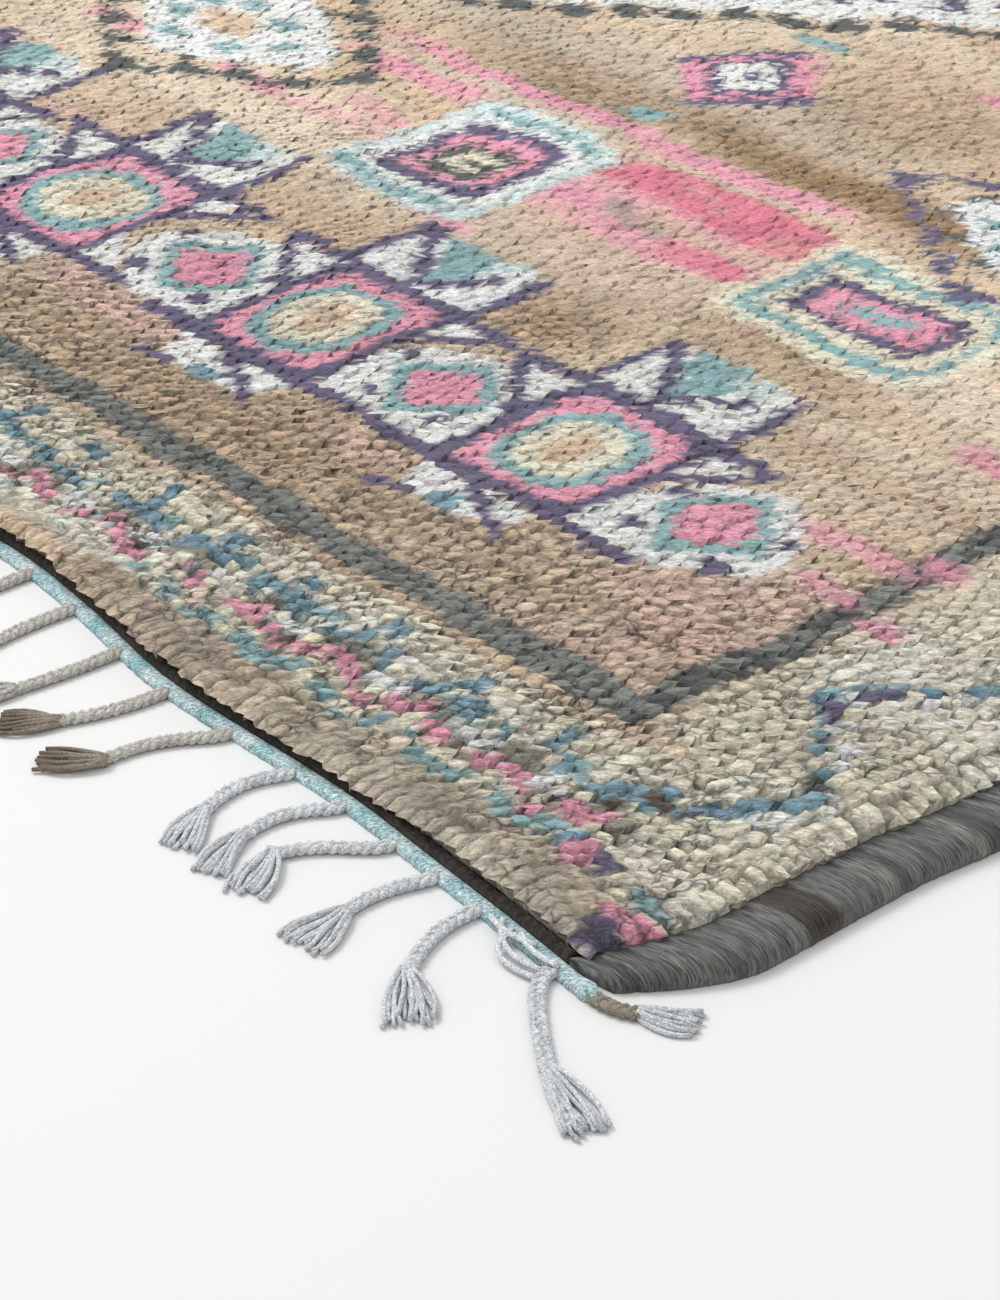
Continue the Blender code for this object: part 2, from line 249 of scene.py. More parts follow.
def place_on_pile(across, along):
    """The point at two shares, from 0 to 1, across and along the pile, found in a few rounds."""
    y = (along - 0.5) * LENGTH
    for _ in range(PLACE_ROUNDS):
        x = mix(pile_side(y, -1), pile_side(y, 1), across)
        y = mix(pile_end(x, -1), pile_end(x, 1), along)
    return x, y


print("the pile is", round(pile_side(0.0, 1) - pile_side(0.0, -1), 3), "m wide at its middle")

# %% [markdown]
# ## The yarns
# The rug has about two dozen shades of yarn: undyed creams and browns, and pinks, teals and plums
# that have softened with washing. Each is written as a display would show it and turned into the
# linear light that Blender mixes. Naming them once keeps every later table readable.

# %% Name the yarns
YARNS = {
    # name: red, green, blue
    "tan": (226, 199, 169),
    "sand": (246, 228, 203),
    "brown": (200, 170, 136),
    "russet": (182, 146, 104),
    "umber": (96, 80, 66),
    "rose": (238, 198, 184),
    "cream": (246, 236, 210),
    "white": (251, 252, 246),
    "pink": (248, 166, 188),
    "fuchsia": (236, 129, 152),
    "plum": (104, 95, 128),
    "teal": (150, 188, 190),
    "pale_teal": (216, 232, 230),
    "blue": (130, 168, 184),
    "slate": (138, 141, 134),
    "charcoal": (88, 93, 90),
    "olive": (160, 154, 136),
    "cotton": (230, 234, 238),
    "ecru": (212, 208, 199),
    "fawn": (176, 164, 146),
    "hazel": (122, 106, 88),
    "wrap_grey": (134, 135, 129),
    "wrap_dark": (76, 79, 76),
    "strip_teal": (150, 194, 200),
    "strip_pale": (224, 232, 232),
}


def linear(colour):
    """Display values from 0 to 255 as linear light."""
    shares = np.array(colour) / 255
    return np.where(shares <= 0.04045, shares / 12.92, ((shares + 0.055) / 1.055) ** 2.4)


yarn_light = {name: linear(colour) for name, colour in YARNS.items()}
print(len(YARNS), "yarns")

# %% [markdown]
# ## Where every lock lies
# Knots are tied in rows across the loom. Washed and brushed, their tufts cling together into soft
# locks, 10 to 13 mm long and about 9 mm wide, that lie side by side in rows with thin dark cracks
# between them. The pile is one fine grid. Every third line of it is a crack between two rows of
# locks, and in each row some of its columns are notches, where one lock ends and the next begins.

# %% Lay out the locks
LOCK_ROWS = 262
COLUMNS = 462
# a lock is at least the first number of columns long, and shorter than the second
LOCK_CELLS = (3, 5)
NOTCH_SHARE = 0.38
LOCK_SEED = 5

rng = np.random.default_rng(LOCK_SEED)
columns = np.arange(COLUMNS + 1)
lock_shape = (LOCK_ROWS, COLUMNS + 1)
cell_at, from_tail, lock_length = (np.zeros(lock_shape) for _ in range(3))
is_notch, lock_number = (np.zeros(lock_shape, kind) for kind in (bool, int))
lock_count = 0
for row in range(LOCK_ROWS):
    notches = COLUMNS - np.concatenate([[0], np.cumsum(rng.integers(*LOCK_CELLS, COLUMNS))])
    notches = notches[notches > -LOCK_CELLS[1]][::-1]
    which = np.minimum(np.searchsorted(notches, columns, side="right"), len(notches) - 1) - 1
    length = notches[which + 1] - notches[which]
    step_in = columns - notches[which]
    is_notch[row] = (step_in == 0) | (step_in == length)
    from_tail[row] = np.clip((step_in - 1) / (length - 2), 0, 1)
    inside = notches[which] + NOTCH_SHARE + from_tail[row] * (length - 2 * NOTCH_SHARE)
    cell_at[row] = np.where(is_notch[row], columns, inside)
    lock_length[row] = length
    lock_number[row] = lock_count + which
    lock_count += len(notches) - 1
cell_at[:, 0] = 0.0
print(lock_count, "locks in", LOCK_ROWS, "rows")

# %% [markdown]
# The locks' rows are then spread to the grid's lines, three for each row: the crack, then the two
# lips of the locks, which draw together at a lock's tail and tip. A crack's points lie halfway
# between the locks on both sides of it. The shares across and along become places on the rug
# through a small table of its outline, because reading the sway curves once for each of 364,000
# points would take too long. Soft noise then pushes the rows out of line, but not at the rim. One
# table holds every noise of the pile, each on a layer of its own, so that no two look alike.

# %% Spread the locks over the rug
TABLE_STEPS = (60, 120)
# how far a lip lies from its row's edge at a lock's tail, middle and tip
LIP_SHARE = (0.33, 0.22, 0.38)
RIM_FADE = 0.03
WARPS = [
    # swing, waves a metre
    (0.0050, 9.0), (0.0018, 32.0),
]
WARP_LAYERS = (1.3, 7.7)
NOISES = {
    # use: waves a metre, layer, waves along for each one across
    "comb": (3.0, 0.3, 1.0),
    "lumps": (15.0, 0.5, 1.0),
    "cracks": (34.0, 4.0, 2.6),
    "flattened": (19.0, 3.3, 2.0),
    "rim": (26.0, 9.0, 1.0),
    "wander_side": (17.0, 3.1, 1.0),
    "wander_front": (17.0, 8.4, 1.0),
    "streaks": (3.0, 2.2, 8.0),
    "undyed": (15.0, 5.0, 1.0),
    "worn_pink": (22.0, 6.0, 2.7),
}

lines = np.arange(3 * LOCK_ROWS + 1)
across_table = np.arange(TABLE_STEPS[0] + 1) / TABLE_STEPS[0]
along_table = (1 - np.cos(pi * np.arange(TABLE_STEPS[1] + 1) / TABLE_STEPS[1])) / 2
outline_table = np.array([
    [place_on_pile(across, along) for across in across_table] for along in along_table
])


def to_lines(rows):
    """Both lips take a row of locks as it is, and a crack the mean of the rows beside it."""
    grid = np.zeros((len(lines), COLUMNS + 1))
    grid[1::3] = rows
    grid[2::3] = rows
    padded = np.concatenate([rows[:1], rows, rows[-1:]])
    grid[0::3] = (padded[:-1] + padded[1:]) / 2
    return grid


def on_rug(across, along):
    """Places on the rug for arrays of shares across and along, read between the table's rows."""
    row = np.interp(along, along_table, np.arange(len(along_table)))
    column = np.interp(across, across_table, np.arange(len(across_table)))
    low_row = np.minimum(row.astype(int), TABLE_STEPS[1] - 1)
    low_column = np.minimum(column.astype(int), TABLE_STEPS[0] - 1)
    up, over = (row - low_row)[..., None], (column - low_column)[..., None]
    near, back = (
        mix(outline_table[at, low_column], outline_table[at, low_column + 1], over)
        for at in (low_row, low_row + 1)
    )
    return mix(near, back, up)


def noise_field(points, scale, layer, stretch=1.0):
    """Smooth noise from about -1 to 1 at each place, longer across the rug where it is stretched."""
    return np.array([
        noise.noise(Vector((x * scale, y * scale * stretch, layer))) for x, y in points.reshape(-1, 2)
    ]).reshape(points.shape[:-1])


def amount(field, mean, swing, least=0.0, most=1.0):
    """A noise field as amounts round a mean, kept between two limits."""
    return np.clip(mean + swing * field, least, most)


lip = np.interp(from_tail, (0.0, 0.5, 1.0), LIP_SHARE)
along = np.repeat(lines[:, None] // 3, COLUMNS + 1, axis=1).astype(float)
along[1::3] += lip
along[2::3] += 1 - lip
along /= LOCK_ROWS
across = np.clip(to_lines(cell_at) / COLUMNS, 0, 1)
places = on_rug(across, along)
to_rim = np.minimum(np.minimum(across, 1 - across) * WIDTH, np.minimum(along, 1 - along) * LENGTH)
near_rim = 1 - np.clip(to_rim / RIM_FADE, 0, 1)
for swing, waves in WARPS:
    warp = np.stack([noise_field(places, waves, layer) for layer in WARP_LAYERS], axis=-1)
    places += swing * warp * (1 - near_rim)[..., None]
print("the pile has", places.shape[0] * places.shape[1], "points")

# %% [markdown]
# Each lock is turned a little towards the far end of the rug, the way the pile was brushed, and
# rises from its tail to its tip, so the locks lie over each other like shingles. The cracks are
# deep in some places and closed in others. Away from both ends the pile was brushed smooth, so
# its cracks are shallower, and in patches they are almost gone.

# %% Turn and raise the locks
PILE_TOP = 0.0212
PILE_LUMP = 0.0060
LOCK_SPREAD = 0.0006
LOCK_RISE = 0.0010
LOCK_SHIFT = 0.0009
POINT_SPREAD = 0.00030
CRACK_DEPTH = 0.0042
# mean, swing and least
CRACK_OPENNESS = (0.50, 1.5, 0.05)
NOTCH_DEPTH = 0.0036
NOTCH_SHARES = (0.05, 1.0)
NOTCH_POWER = 0.7
BRUSHED = 0.64
BRUSHED_FROM = 0.22
BRUSHED_OVER = 0.35
FLATTENED = 0.85
# mean and swing
FLATTENED_PATCHES = (0.45, -1.5)
COMB_TURN = radians(15.0)
COMB_SPREAD = radians(8.0)
COMB_LIMIT = 1.6
COMB_DRIFT = radians(12.0)

numbers = np.zeros((len(lines), COLUMNS + 1), int)
numbers[1::3] = numbers[2::3] = numbers[0:-1:3] = lock_number
numbers[-1] = lock_number[-1]
lock_turn = COMB_TURN + COMB_SPREAD * np.clip(rng.normal(0, 1, lock_count), -COMB_LIMIT, COMB_LIMIT)
comb = lock_turn[numbers] + COMB_DRIFT * noise_field(places, *NOISES["comb"])
cell_width = WIDTH / COLUMNS
sideways = np.where(is_notch, 0.0, (from_tail - 0.5) * lock_length * cell_width)
shift = rng.normal(0, LOCK_SHIFT, lock_count)
places[..., 1] += (to_lines(sideways) * np.tan(comb) + to_lines(shift[lock_number])) * (1 - near_rim)
squaring = (0.5 - lip) * LENGTH / LOCK_ROWS
places[1::3, :, 0] += squaring * (np.tan(comb) * (1 - near_rim))[1::3]
places[2::3, :, 0] -= squaring * (np.tan(comb) * (1 - near_rim))[2::3]

lock_height = rng.normal(0, LOCK_SPREAD, lock_count)
heights = PILE_TOP + to_lines(lock_height[lock_number] + LOCK_RISE * (from_tail - 0.5))
heights += PILE_LUMP * noise_field(places, *NOISES["lumps"]) + rng.normal(0, POINT_SPREAD, heights.shape)
openness = amount(noise_field(places, *NOISES["cracks"]), *CRACK_OPENNESS)
notch_depth = NOTCH_DEPTH * rng.uniform(*NOTCH_SHARES, lock_count) ** NOTCH_POWER
depth = to_lines(np.where(is_notch, notch_depth[lock_number], 0.0))
depth[0::3] = np.maximum(CRACK_DEPTH * openness[0::3], depth[0::3])
from_end = LENGTH / 2 - np.abs(places[..., 1])
brushed = np.clip((from_end - BRUSHED_FROM) / BRUSHED_OVER, 0, 1)
depth *= 1 - BRUSHED * brushed
flattened = amount(noise_field(places, *NOISES["flattened"]), *FLATTENED_PATCHES)
depth *= 1 - FLATTENED * flattened * brushed
heights -= depth
print("the pile stands from", heights.min().round(4), "to", heights.max().round(4), "m")

# %% [markdown]
# Everything leans the more the higher it stands. At the rim the two lines next to the last drop
# and reach out over the selvedges and bands, each lock by its own amount, and the last line is
# tucked in below them.

# %% Lean the locks and hang the rim over its edge
LEAN = 0.0036
LEAN_FROM = 0.0100
LEAN_FULL = 0.0120
LEAN_MOST = 1.4
RIM_VALLEY = 0.0065
RIM_RINGS = [
    # ring, drop at the ends, drop at the sides, share of the overhang
    (1, 0.0068, 0.0040, 1.0),
    (2, 0.0026, 0.0015, 0.6),
]
RIM_CRACK = 0.0030
OVERHANG_SIDE = (0.0010, 0.0120)
OVERHANG_END = (0.0106, 0.0130)
CORNER_REACH = 0.35
CORNER_SHARE = 0.25
NOTCH_REACH = 0.0014
NOTCH_REACH_MOST = 1.5
RIM_WAVER = 0.0024

for ring, end_drop, side_drop, _ in RIM_RINGS:
    both = [ring, -ring - 1]
    heights[both] -= end_drop
    heights[:, both] -= side_drop
    heights[0::3, both] -= RIM_CRACK
lean = LEAN * np.clip((heights - LEAN_FROM) / LEAN_FULL, 0, LEAN_MOST)[..., None]
lean = lean * np.stack([np.cos(comb), np.sin(comb)], axis=-1)
lean *= (1 - near_rim)[..., None]
side_reach = rng.uniform(*OVERHANG_SIDE, lock_count)[numbers]
side_reach[0::3] = OVERHANG_SIDE[0]
end_reach = rng.uniform(*OVERHANG_END, lock_count)[numbers]
at_notch = to_lines(is_notch) > 0
end_reach[at_notch] -= NOTCH_REACH * rng.uniform(0, NOTCH_REACH_MOST, int(at_notch.sum()))
end_reach += RIM_WAVER * noise_field(places, *NOISES["rim"])
in_from_side = WIDTH / 2 - np.abs(places[..., 0])
end_reach *= np.clip(CORNER_SHARE + in_from_side / CORNER_REACH, CORNER_SHARE, 1)
for ring, _, _, share in RIM_RINGS:
    for at, way in ((ring, -1), (-ring - 1, 1)):
        lean[:, at, 0] += way * side_reach[:, at] * share
        lean[at, :, 1] += way * end_reach[at] * share
rim = np.zeros(heights.shape, bool)
rim[[0, -1]] = True
rim[:, [0, -1]] = True
lean[rim] = 0.0
heights[rim] = RIM_VALLEY
places += lean
print("the rim has", int(rim.sum()), "points")

# %% [markdown]
# ## The chart
# A weaver of these rugs works from memory, not from a drawn chart, so the motifs wobble. Places
# are given as the weaver would count them: in from the right selvedge, then in from the front
# fringe. The far half of the rug is the near half turned round. Each point of the grid stands for
# a knot and takes its colour partly from its own place and partly from its lock's middle. A
# picture could be wrapped over the rug, but colour tied knot by knot gives the true stepped edges
# and the soft wandering lines.

# %% Give every point its place on the chart
CHART_RIGHT = 0.815
CHART_FRONT = -LENGTH / 2
CHART_WIDTH = 2 * CHART_RIGHT
LOCK_HOLD = (0.45, 0.10)
FRAY = (0.0008, 0.0034)
WANDER = 0.0034

flat_numbers = numbers.ravel()
points = places.reshape(-1, 2)
in_lock = np.bincount(flat_numbers, minlength=lock_count)
lock_middles = np.stack([
    np.bincount(flat_numbers, points[:, axis], minlength=lock_count) / np.maximum(in_lock, 1)
    for axis in (0, 1)
], axis=1)
smooth = brushed.reshape(-1, 1)
hold, fray = mix(*LOCK_HOLD, smooth), mix(*FRAY, smooth)
knots = mix(points, lock_middles[flat_numbers], hold) + fray * rng.normal(0, 1, points.shape)
in_side = CHART_RIGHT - knots[:, 0] + WANDER * noise_field(knots, *NOISES["wander_side"])
in_front = knots[:, 1] - CHART_FRONT + WANDER * noise_field(knots, *NOISES["wander_front"])
far = in_front > LENGTH / 2
in_side = np.where(far, CHART_WIDTH - in_side, in_side)
in_front = np.where(far, LENGTH - in_front, in_front)
chart_points = np.stack([in_side, in_front], axis=1)
fleck = rng.uniform(0, 1, lock_count)[flat_numbers]
knot_colour = np.tile(yarn_light["tan"], (len(knots), 1))


def tie(yarn, chosen):
    """Tie the chosen knots in one yarn."""
    knot_colour[chosen] = yarn_light[yarn]


def tint(yarn, weight):
    """Shift knots part of the way to a yarn, by a weight from 0 to 1 for each."""
    share = np.clip(weight, 0, 1)[:, None]
    knot_colour[:] = mix(knot_colour, yarn_light[yarn], share)


print("the chart has", int(far.sum()), "knots in its far half")

# %% [markdown]
# Three ways of drawing are enough for every motif: a rounded spot, a line and a filled patch. A
# spot's power sets its form: 1 is a lozenge, 2 an oval and 8 nearly a box.

# %% Draw spots, lines and patches
def in_spot(across, u, v, half_u, half_v, power):
    """Which knots are inside one rounded shape, by their places across and in from the fringe."""
    reach = np.abs((across - u) / half_u) ** power + np.abs((in_front - v) / half_v) ** power
    return reach <= 1


def spot(yarn, *sizes):
    """Tie the knots inside one rounded shape."""
    tie(yarn, in_spot(in_side, *sizes))


def line(yarn, width, u, v, to_u, to_v):
    """Tie the knots near a straight line."""
    way = np.array([to_u - u, to_v - v])
    from_start = chart_points - (u, v)
    share = np.clip(from_start @ way / (way @ way), 0, 1)
    off = np.linalg.norm(from_start - share[:, None] * way, axis=1)
    tie(yarn, off <= width / 2)


def patch(yarn, *corners):
    """Tie the knots inside a polygon."""
    inside = np.zeros(len(knots), bool)
    for (u, v), (next_u, next_v) in zip(corners, corners[1:] + corners[:1]):
        crosses = (v > in_front) != (next_v > in_front)
        if v != next_v:
            inside ^= crosses & (in_side < (next_u - u) * (in_front - v) / (next_v - v) + u)
    tie(yarn, inside)


def draw(rows, u, v):
    """Draw a motif's rows round its middle."""
    for yarn, kind, *sizes in rows:
        if kind == "patch":
            patch(yarn, *[(u + du, v + dv) for du, dv in sizes])
        elif kind == "line":
            width, start_u, start_v, stop_u, stop_v = sizes
            line(yarn, width, u + start_u, v + start_v, u + stop_u, v + stop_v)
        else:
            du, dv, *halves_and_power = sizes
            spot(yarn, u + du, v + dv, *halves_and_power)


print("drawing with spots, lines and patches")

# %% [markdown]
# ## Field and border grounds
# The field is a warm tan that drifts to brown, sand and rose in streaks across the rug, because
# each batch of wool took the dye a little differently. The brown streaks are also a coarser wool
# that brushing never smoothed, and roughened keeps how far each knot is one of them. The border
# is cream. A dark grey line parts it from the field.

# %% Dye the grounds
FRAME_LINE_SIDE = 0.197
FRAME_LINE_FRONT = 0.153
FRAME_LINE_WIDTH = 0.024
ABRASH = [
    # yarn, u, v, half_u, half_v, strength
    ("fawn", 0.850, 0.730, 0.300, 0.080, 0.55),
    ("fawn", 0.640, 0.480, 0.260, 0.060, 0.35),
    ("brown", 0.640, 0.205, 0.300, 0.045, 0.75),
    ("brown", 0.580, 0.425, 0.045, 0.050, 0.65),
    ("brown", 0.620, 0.702, 0.170, 0.024, 0.95),
    ("russet", 0.600, 0.702, 0.170, 0.027, 1.00),
    ("russet", 0.500, 0.690, 0.060, 0.030, 0.50),
    ("russet", 0.600, 0.425, 0.045, 0.030, 0.45),
    ("brown", 0.640, 0.820, 0.100, 0.070, 0.60),
    ("brown", 0.860, 0.698, 0.150, 0.032, 0.85),
    ("brown", 0.450, 0.500, 0.080, 0.025, 0.55),
    ("brown", 0.350, 1.100, 0.120, 0.050, 0.55),
    ("sand", 0.950, 0.500, 0.200, 0.045, 0.70),
    ("rose", 0.640, 0.505, 0.110, 0.030, 0.35),
    ("sand", 0.300, 0.550, 0.090, 0.110, 0.80),
    ("sand", 0.900, 0.850, 0.160, 0.090, 0.55),
    ("rose", 0.250, 0.240, 0.070, 0.075, 0.60),
    ("rose", 0.520, 0.238, 0.060, 0.014, 0.80),
    ("rose", 0.780, 0.243, 0.080, 0.016, 0.95),
    ("rose", 1.100, 0.402, 0.090, 0.016, 0.80),
    ("rose", 0.860, 0.265, 0.030, 0.030, 0.70),
    ("rose", 0.300, 0.760, 0.060, 0.090, 0.45),
]
FIELD_STREAKS = [
    # yarn, mean, swing, strength
    ("sand", 0.25, 1.3, 0.8),
    ("brown", -0.25, -1.5, 0.6),
]
ABRASH_EDGE = 1.35
ABRASH_FEATHER = 0.5
ROUGH_YARNS = ("brown", "russet")

roughened = np.zeros(len(knots))
streak = noise_field(chart_points, *NOISES["streaks"])
near_side = np.minimum(in_side, CHART_WIDTH - in_side)
in_field = (near_side > FRAME_LINE_SIDE) & (in_front > FRAME_LINE_FRONT)
for yarn, mean, swing, strength in FIELD_STREAKS:
    tint(yarn, amount(streak, mean, swing) * strength)
for yarn, u, v, half_u, half_v, strength in ABRASH:
    away = np.hypot((in_side - u) / half_u, (in_front - v) / half_v)
    weight = strength * np.clip(ABRASH_EDGE - away + ABRASH_FEATHER * streak, 0, 1)
    tint(yarn, weight)
    if yarn in ROUGH_YARNS:
        roughened = np.maximum(roughened, weight)
print("field has", int(in_field.sum()), "knots")

# %% [markdown]
# The cream border fades to tan beside the grey line and beside the fringe, where undyed brown wool
# was used.

# %% Dye the border and the grey line
WHITE_SWING = 0.9
FRINGE_SIDE = 0.042
CORNER_SHADE = 0.15
CORNER_SHADE_OVER = 0.55
UNDYED_ECRU = 0.7
# mean and swing, then the least and the most where they aren't 0 and 1
UNDYED_TAN = (0.75, 2.2)
UNDYED_BROWN = (0.0, -1.6, 0.0, 0.5)
UNDYED_FAWN = (0.30, 1.2, 0.0, 0.7)
TAN_ROW = 0.138
TAN_ROW_HALF = 0.010
TAN_ROW_FROM_SIDE = 0.15
TAN_EDGE = 0.034
TAN_EDGE_MOST = 0.85
TAN_EDGE_FROM_FRONT = 0.13
DARK_SHARE = 0.45

border = ~in_field
tie("cream", border)
tint("white", border * np.clip(WHITE_SWING * streak, 0, 1))
beside_fringe = border & (in_front < FRINGE_SIDE)
from_corner = np.clip(CORNER_SHADE + near_side / CORNER_SHADE_OVER, 0, 1)
tint("tan", beside_fringe * from_corner * amount(streak, *UNDYED_TAN))
tint("ecru", beside_fringe * (1 - from_corner) * UNDYED_ECRU)
tint("brown", beside_fringe * amount(streak, *UNDYED_BROWN))
undyed = noise_field(chart_points, *NOISES["undyed"])
tint("fawn", beside_fringe * amount(undyed, *UNDYED_FAWN))
tan_row = np.clip(1 - np.abs(in_front - TAN_ROW) / TAN_ROW_HALF, 0, 1)
tint("tan", border * tan_row * (near_side > TAN_ROW_FROM_SIDE))
tan_edge = np.clip(1 - (FRAME_LINE_SIDE - near_side) / TAN_EDGE, 0, TAN_EDGE_MOST)
tint("tan", border * tan_edge * (in_front > TAN_EDGE_FROM_FRONT))
half_line = FRAME_LINE_WIDTH / 2
front_line = (np.abs(in_front - FRAME_LINE_FRONT) < half_line) & (near_side > FRAME_LINE_SIDE - half_line)
tie("slate", front_line)
side_line = (np.abs(near_side - FRAME_LINE_SIDE) < half_line) & (in_front > FRAME_LINE_FRONT - half_line)
tie("slate", side_line)
tie("charcoal", side_line & (fleck < DARK_SHARE))
ground_colour = knot_colour.copy()
print("border has", int(border.sum()), "knots")

# %% [markdown]
# ## The zigzags
# Along the fringe a pink zigzag runs between a teal one and a blue one, with grey-brown and white
# knots filling its hollows. Along the selvedge a single line of blue, plum and teal knots steps in and
# out. Each is a triangle wave, which takes one line of arithmetic.

# %% Tie the zigzag beside the fringe
ZIGZAG_PEAK = 0.635
ZIGZAG_PITCH = 0.0715
RIM_MARGIN = 0.020
ZIGZAG_FROM_SIDE = 0.128
ZIGZAG_TO_FRONT = 0.14
ZIGZAG_ROWS = [
    # yarn, middle, swing, half_height, from_wave, to_wave, share
    ("teal", 0.047, 0.007, 0.0070, -1.0, 0.6, 0.85),
    ("olive", 0.081, 0.006, 0.0075, -0.1, 1.0, 0.90),
    ("white", 0.080, 0.005, 0.0080, -1.0, -0.1, 0.85),
    ("pink", 0.0655, 0.0090, 0.0062, -1.0, 1.0, 0.94),
    ("olive", 0.0655, 0.0090, 0.0050, -0.75, -0.35, 0.55),
    ("umber", 0.0655, 0.0090, 0.0040, 0.10, 0.45, 0.35),
    ("teal", 0.0655, 0.0090, 0.0045, 0.45, 0.70, 0.35),
    ("blue", 0.092, 0.004, 0.0080, -0.5, 1.0, 0.80),
    ("teal", 0.100, 0.006, 0.0060, -1.0, -0.2, 0.55),
    ("blue", 0.108, 0.006, 0.0085, 0.55, 1.0, 0.95),
    ("umber", 0.0700, 0.0060, 0.0055, -1.0, -0.80, 0.60),
]


def triangle(at, peak, pitch):
    """A wave from -1 to 1 that is 1 at its peak."""
    return 2 * np.abs(((at - peak) / pitch) % 1 * 2 - 1) - 1


wave = triangle(in_side, ZIGZAG_PEAK, ZIGZAG_PITCH)
along_fringe = (near_side > ZIGZAG_FROM_SIDE) & (in_front < ZIGZAG_TO_FRONT)
along_fringe &= to_rim.ravel() > RIM_MARGIN
for yarn, middle, swing, half_height, from_wave, to_wave, share in ZIGZAG_ROWS:
    on_row = np.abs(in_front - middle - swing * wave) < half_height
    on_part = (wave >= from_wave) & (wave <= to_wave) & (fleck < share)
    tie(yarn, along_fringe & on_row & on_part)
print("the fringe zigzag repeats every", ZIGZAG_PITCH * 1000, "mm")

# %% [markdown]
# The selvedge zigzag starts at the corner with a loose scatter of small spots, where two borders
# that never quite matched had to meet. Both are counted in from the nearer side, so that every
# corner has them. A row of the zigzag's table takes the knots between limits: how far off the
# zigzag's middle, where in its step, and a share of the locks.

# %% Tie the zigzag beside the selvedge
STEP_MIDDLE = 0.1075
STEP_SWING = 0.0325
STEP_PEAK = 0.235
STEP_PITCH = 0.155
STEP_HALF = 0.0068
STEP_WIDENING = (1.25, 0.55)
STEP_FROM_FRONT = 0.105
STEP_EDGE = 0.017
STEP_EDGE_HALF = 0.006
STEP_EDGE_SHARE = 0.45
STEP_ROWS = [
    # yarn, from_off, to_off, from_step, to_step, from_share, to_share
    ("blue", -1.0, 1.0, -1.0, 1.0, 0.00, 1.00),
    ("plum", -1.0, 0.001, 0.0, 1.0, 0.00, 0.80),
    ("teal", 0.0, 1.0, -1.0, 1.0, 0.55, 1.00),
    ("charcoal", -1.0, 1.0, -1.0, -0.6, 0.00, 0.30),
    ("white", -1.0, 1.0, -1.0, 0.9, 0.88, 1.00),
    ("cream", -1.0, 1.0, -0.5, 0.5, 0.62, 0.80),
]
ROUND_POWER = 2.0
CORNER_KNOTS = [
    # yarn, u, v, half_u, half_v
    ("pink", 0.145, 0.068, 0.017, 0.009),
    ("pink", 0.165, 0.050, 0.010, 0.007),
    ("teal", 0.152, 0.047, 0.010, 0.007),
    ("blue", 0.128, 0.045, 0.011, 0.007),
    ("blue", 0.145, 0.100, 0.012, 0.009),
    ("umber", 0.132, 0.105, 0.010, 0.006),
    ("umber", 0.142, 0.086, 0.007, 0.007),
    ("olive", 0.120, 0.072, 0.010, 0.008),
    ("pink", 0.118, 0.042, 0.011, 0.012),
    ("plum", 0.103, 0.046, 0.009, 0.007),
    ("teal", 0.066, 0.042, 0.013, 0.008),
    ("pink", 0.062, 0.026, 0.022, 0.0065),
    ("plum", 0.072, 0.012, 0.012, 0.012),
]

step = triangle(in_front, STEP_PEAK, STEP_PITCH)
off_step = near_side - STEP_MIDDLE - STEP_SWING * step
beside = (in_front > STEP_FROM_FRONT) & (near_side < FRAME_LINE_SIDE - half_line)
on_edge = np.abs(off_step + STEP_EDGE) < STEP_EDGE_HALF
tie("white", beside & on_edge & (fleck < STEP_EDGE_SHARE))
step_half = STEP_HALF * (STEP_WIDENING[0] + STEP_WIDENING[1] * np.clip(step, 0, 1))
on_step = beside & (np.abs(off_step) < step_half)
for yarn, from_off, to_off, from_step, to_step, from_share, to_share in STEP_ROWS:
    chosen = on_step & (off_step >= from_off) & (off_step <= to_off)
    chosen &= (step >= from_step) & (step <= to_step) & (fleck >= from_share) & (fleck <= to_share)
    tie(yarn, chosen)
for yarn, *sizes in CORNER_KNOTS:
    tie(yarn, in_spot(near_side, *sizes, ROUND_POWER))
print("the selvedge zigzag repeats every", STEP_PITCH * 1000, "mm")

# %% [markdown]
# ## The row of squares
# Four squares with rounded centres stand side by side, each with a triangle in a box above it and
# a small foot below, and a pink rosette fills each space between. One table serves for every
# repeat, drawn round each middle in turn. Distances are from the motif's middle, left and up.

# %% Tie the squares and rosettes
SQUARE = [
    # yarn, kind, then a spot's middle, halves and power, a line's width and ends, or a patch's corners
    ("white", "patch", (0.104, 0.060), (0.056, 0.060), (0.056, 0.010)),
    ("white", "patch", (-0.056, 0.058), (-0.094, 0.056), (-0.060, 0.026)),
    ("white", "patch", (0.056, -0.058), (0.100, -0.056), (0.060, -0.020)),
    ("white", "patch", (-0.056, -0.056), (-0.104, -0.056), (-0.060, -0.016)),
    ("plum", "line", 0.013, 0.121, 0.068, -0.105, 0.064),
    ("plum", "line", 0.013, 0.104, -0.063, -0.120, -0.063),
    ("plum", "line", 0.011, 0.118, 0.066, 0.058, 0.008),
    ("plum", "line", 0.010, -0.058, 0.016, -0.098, 0.052),
    ("plum", "spot", 0.000, 0.001, 0.063, 0.069, 9.0),
    ("pink", "spot", 0.000, 0.001, 0.051, 0.056, 9.0),
    ("teal", "spot", 0.000, -0.002, 0.044, 0.047, 2.6),
    ("cream", "spot", 0.000, -0.001, 0.034, 0.036, 2.2),
    ("tan", "spot", 0.000, -0.002, 0.014, 0.023, 2.0),
]
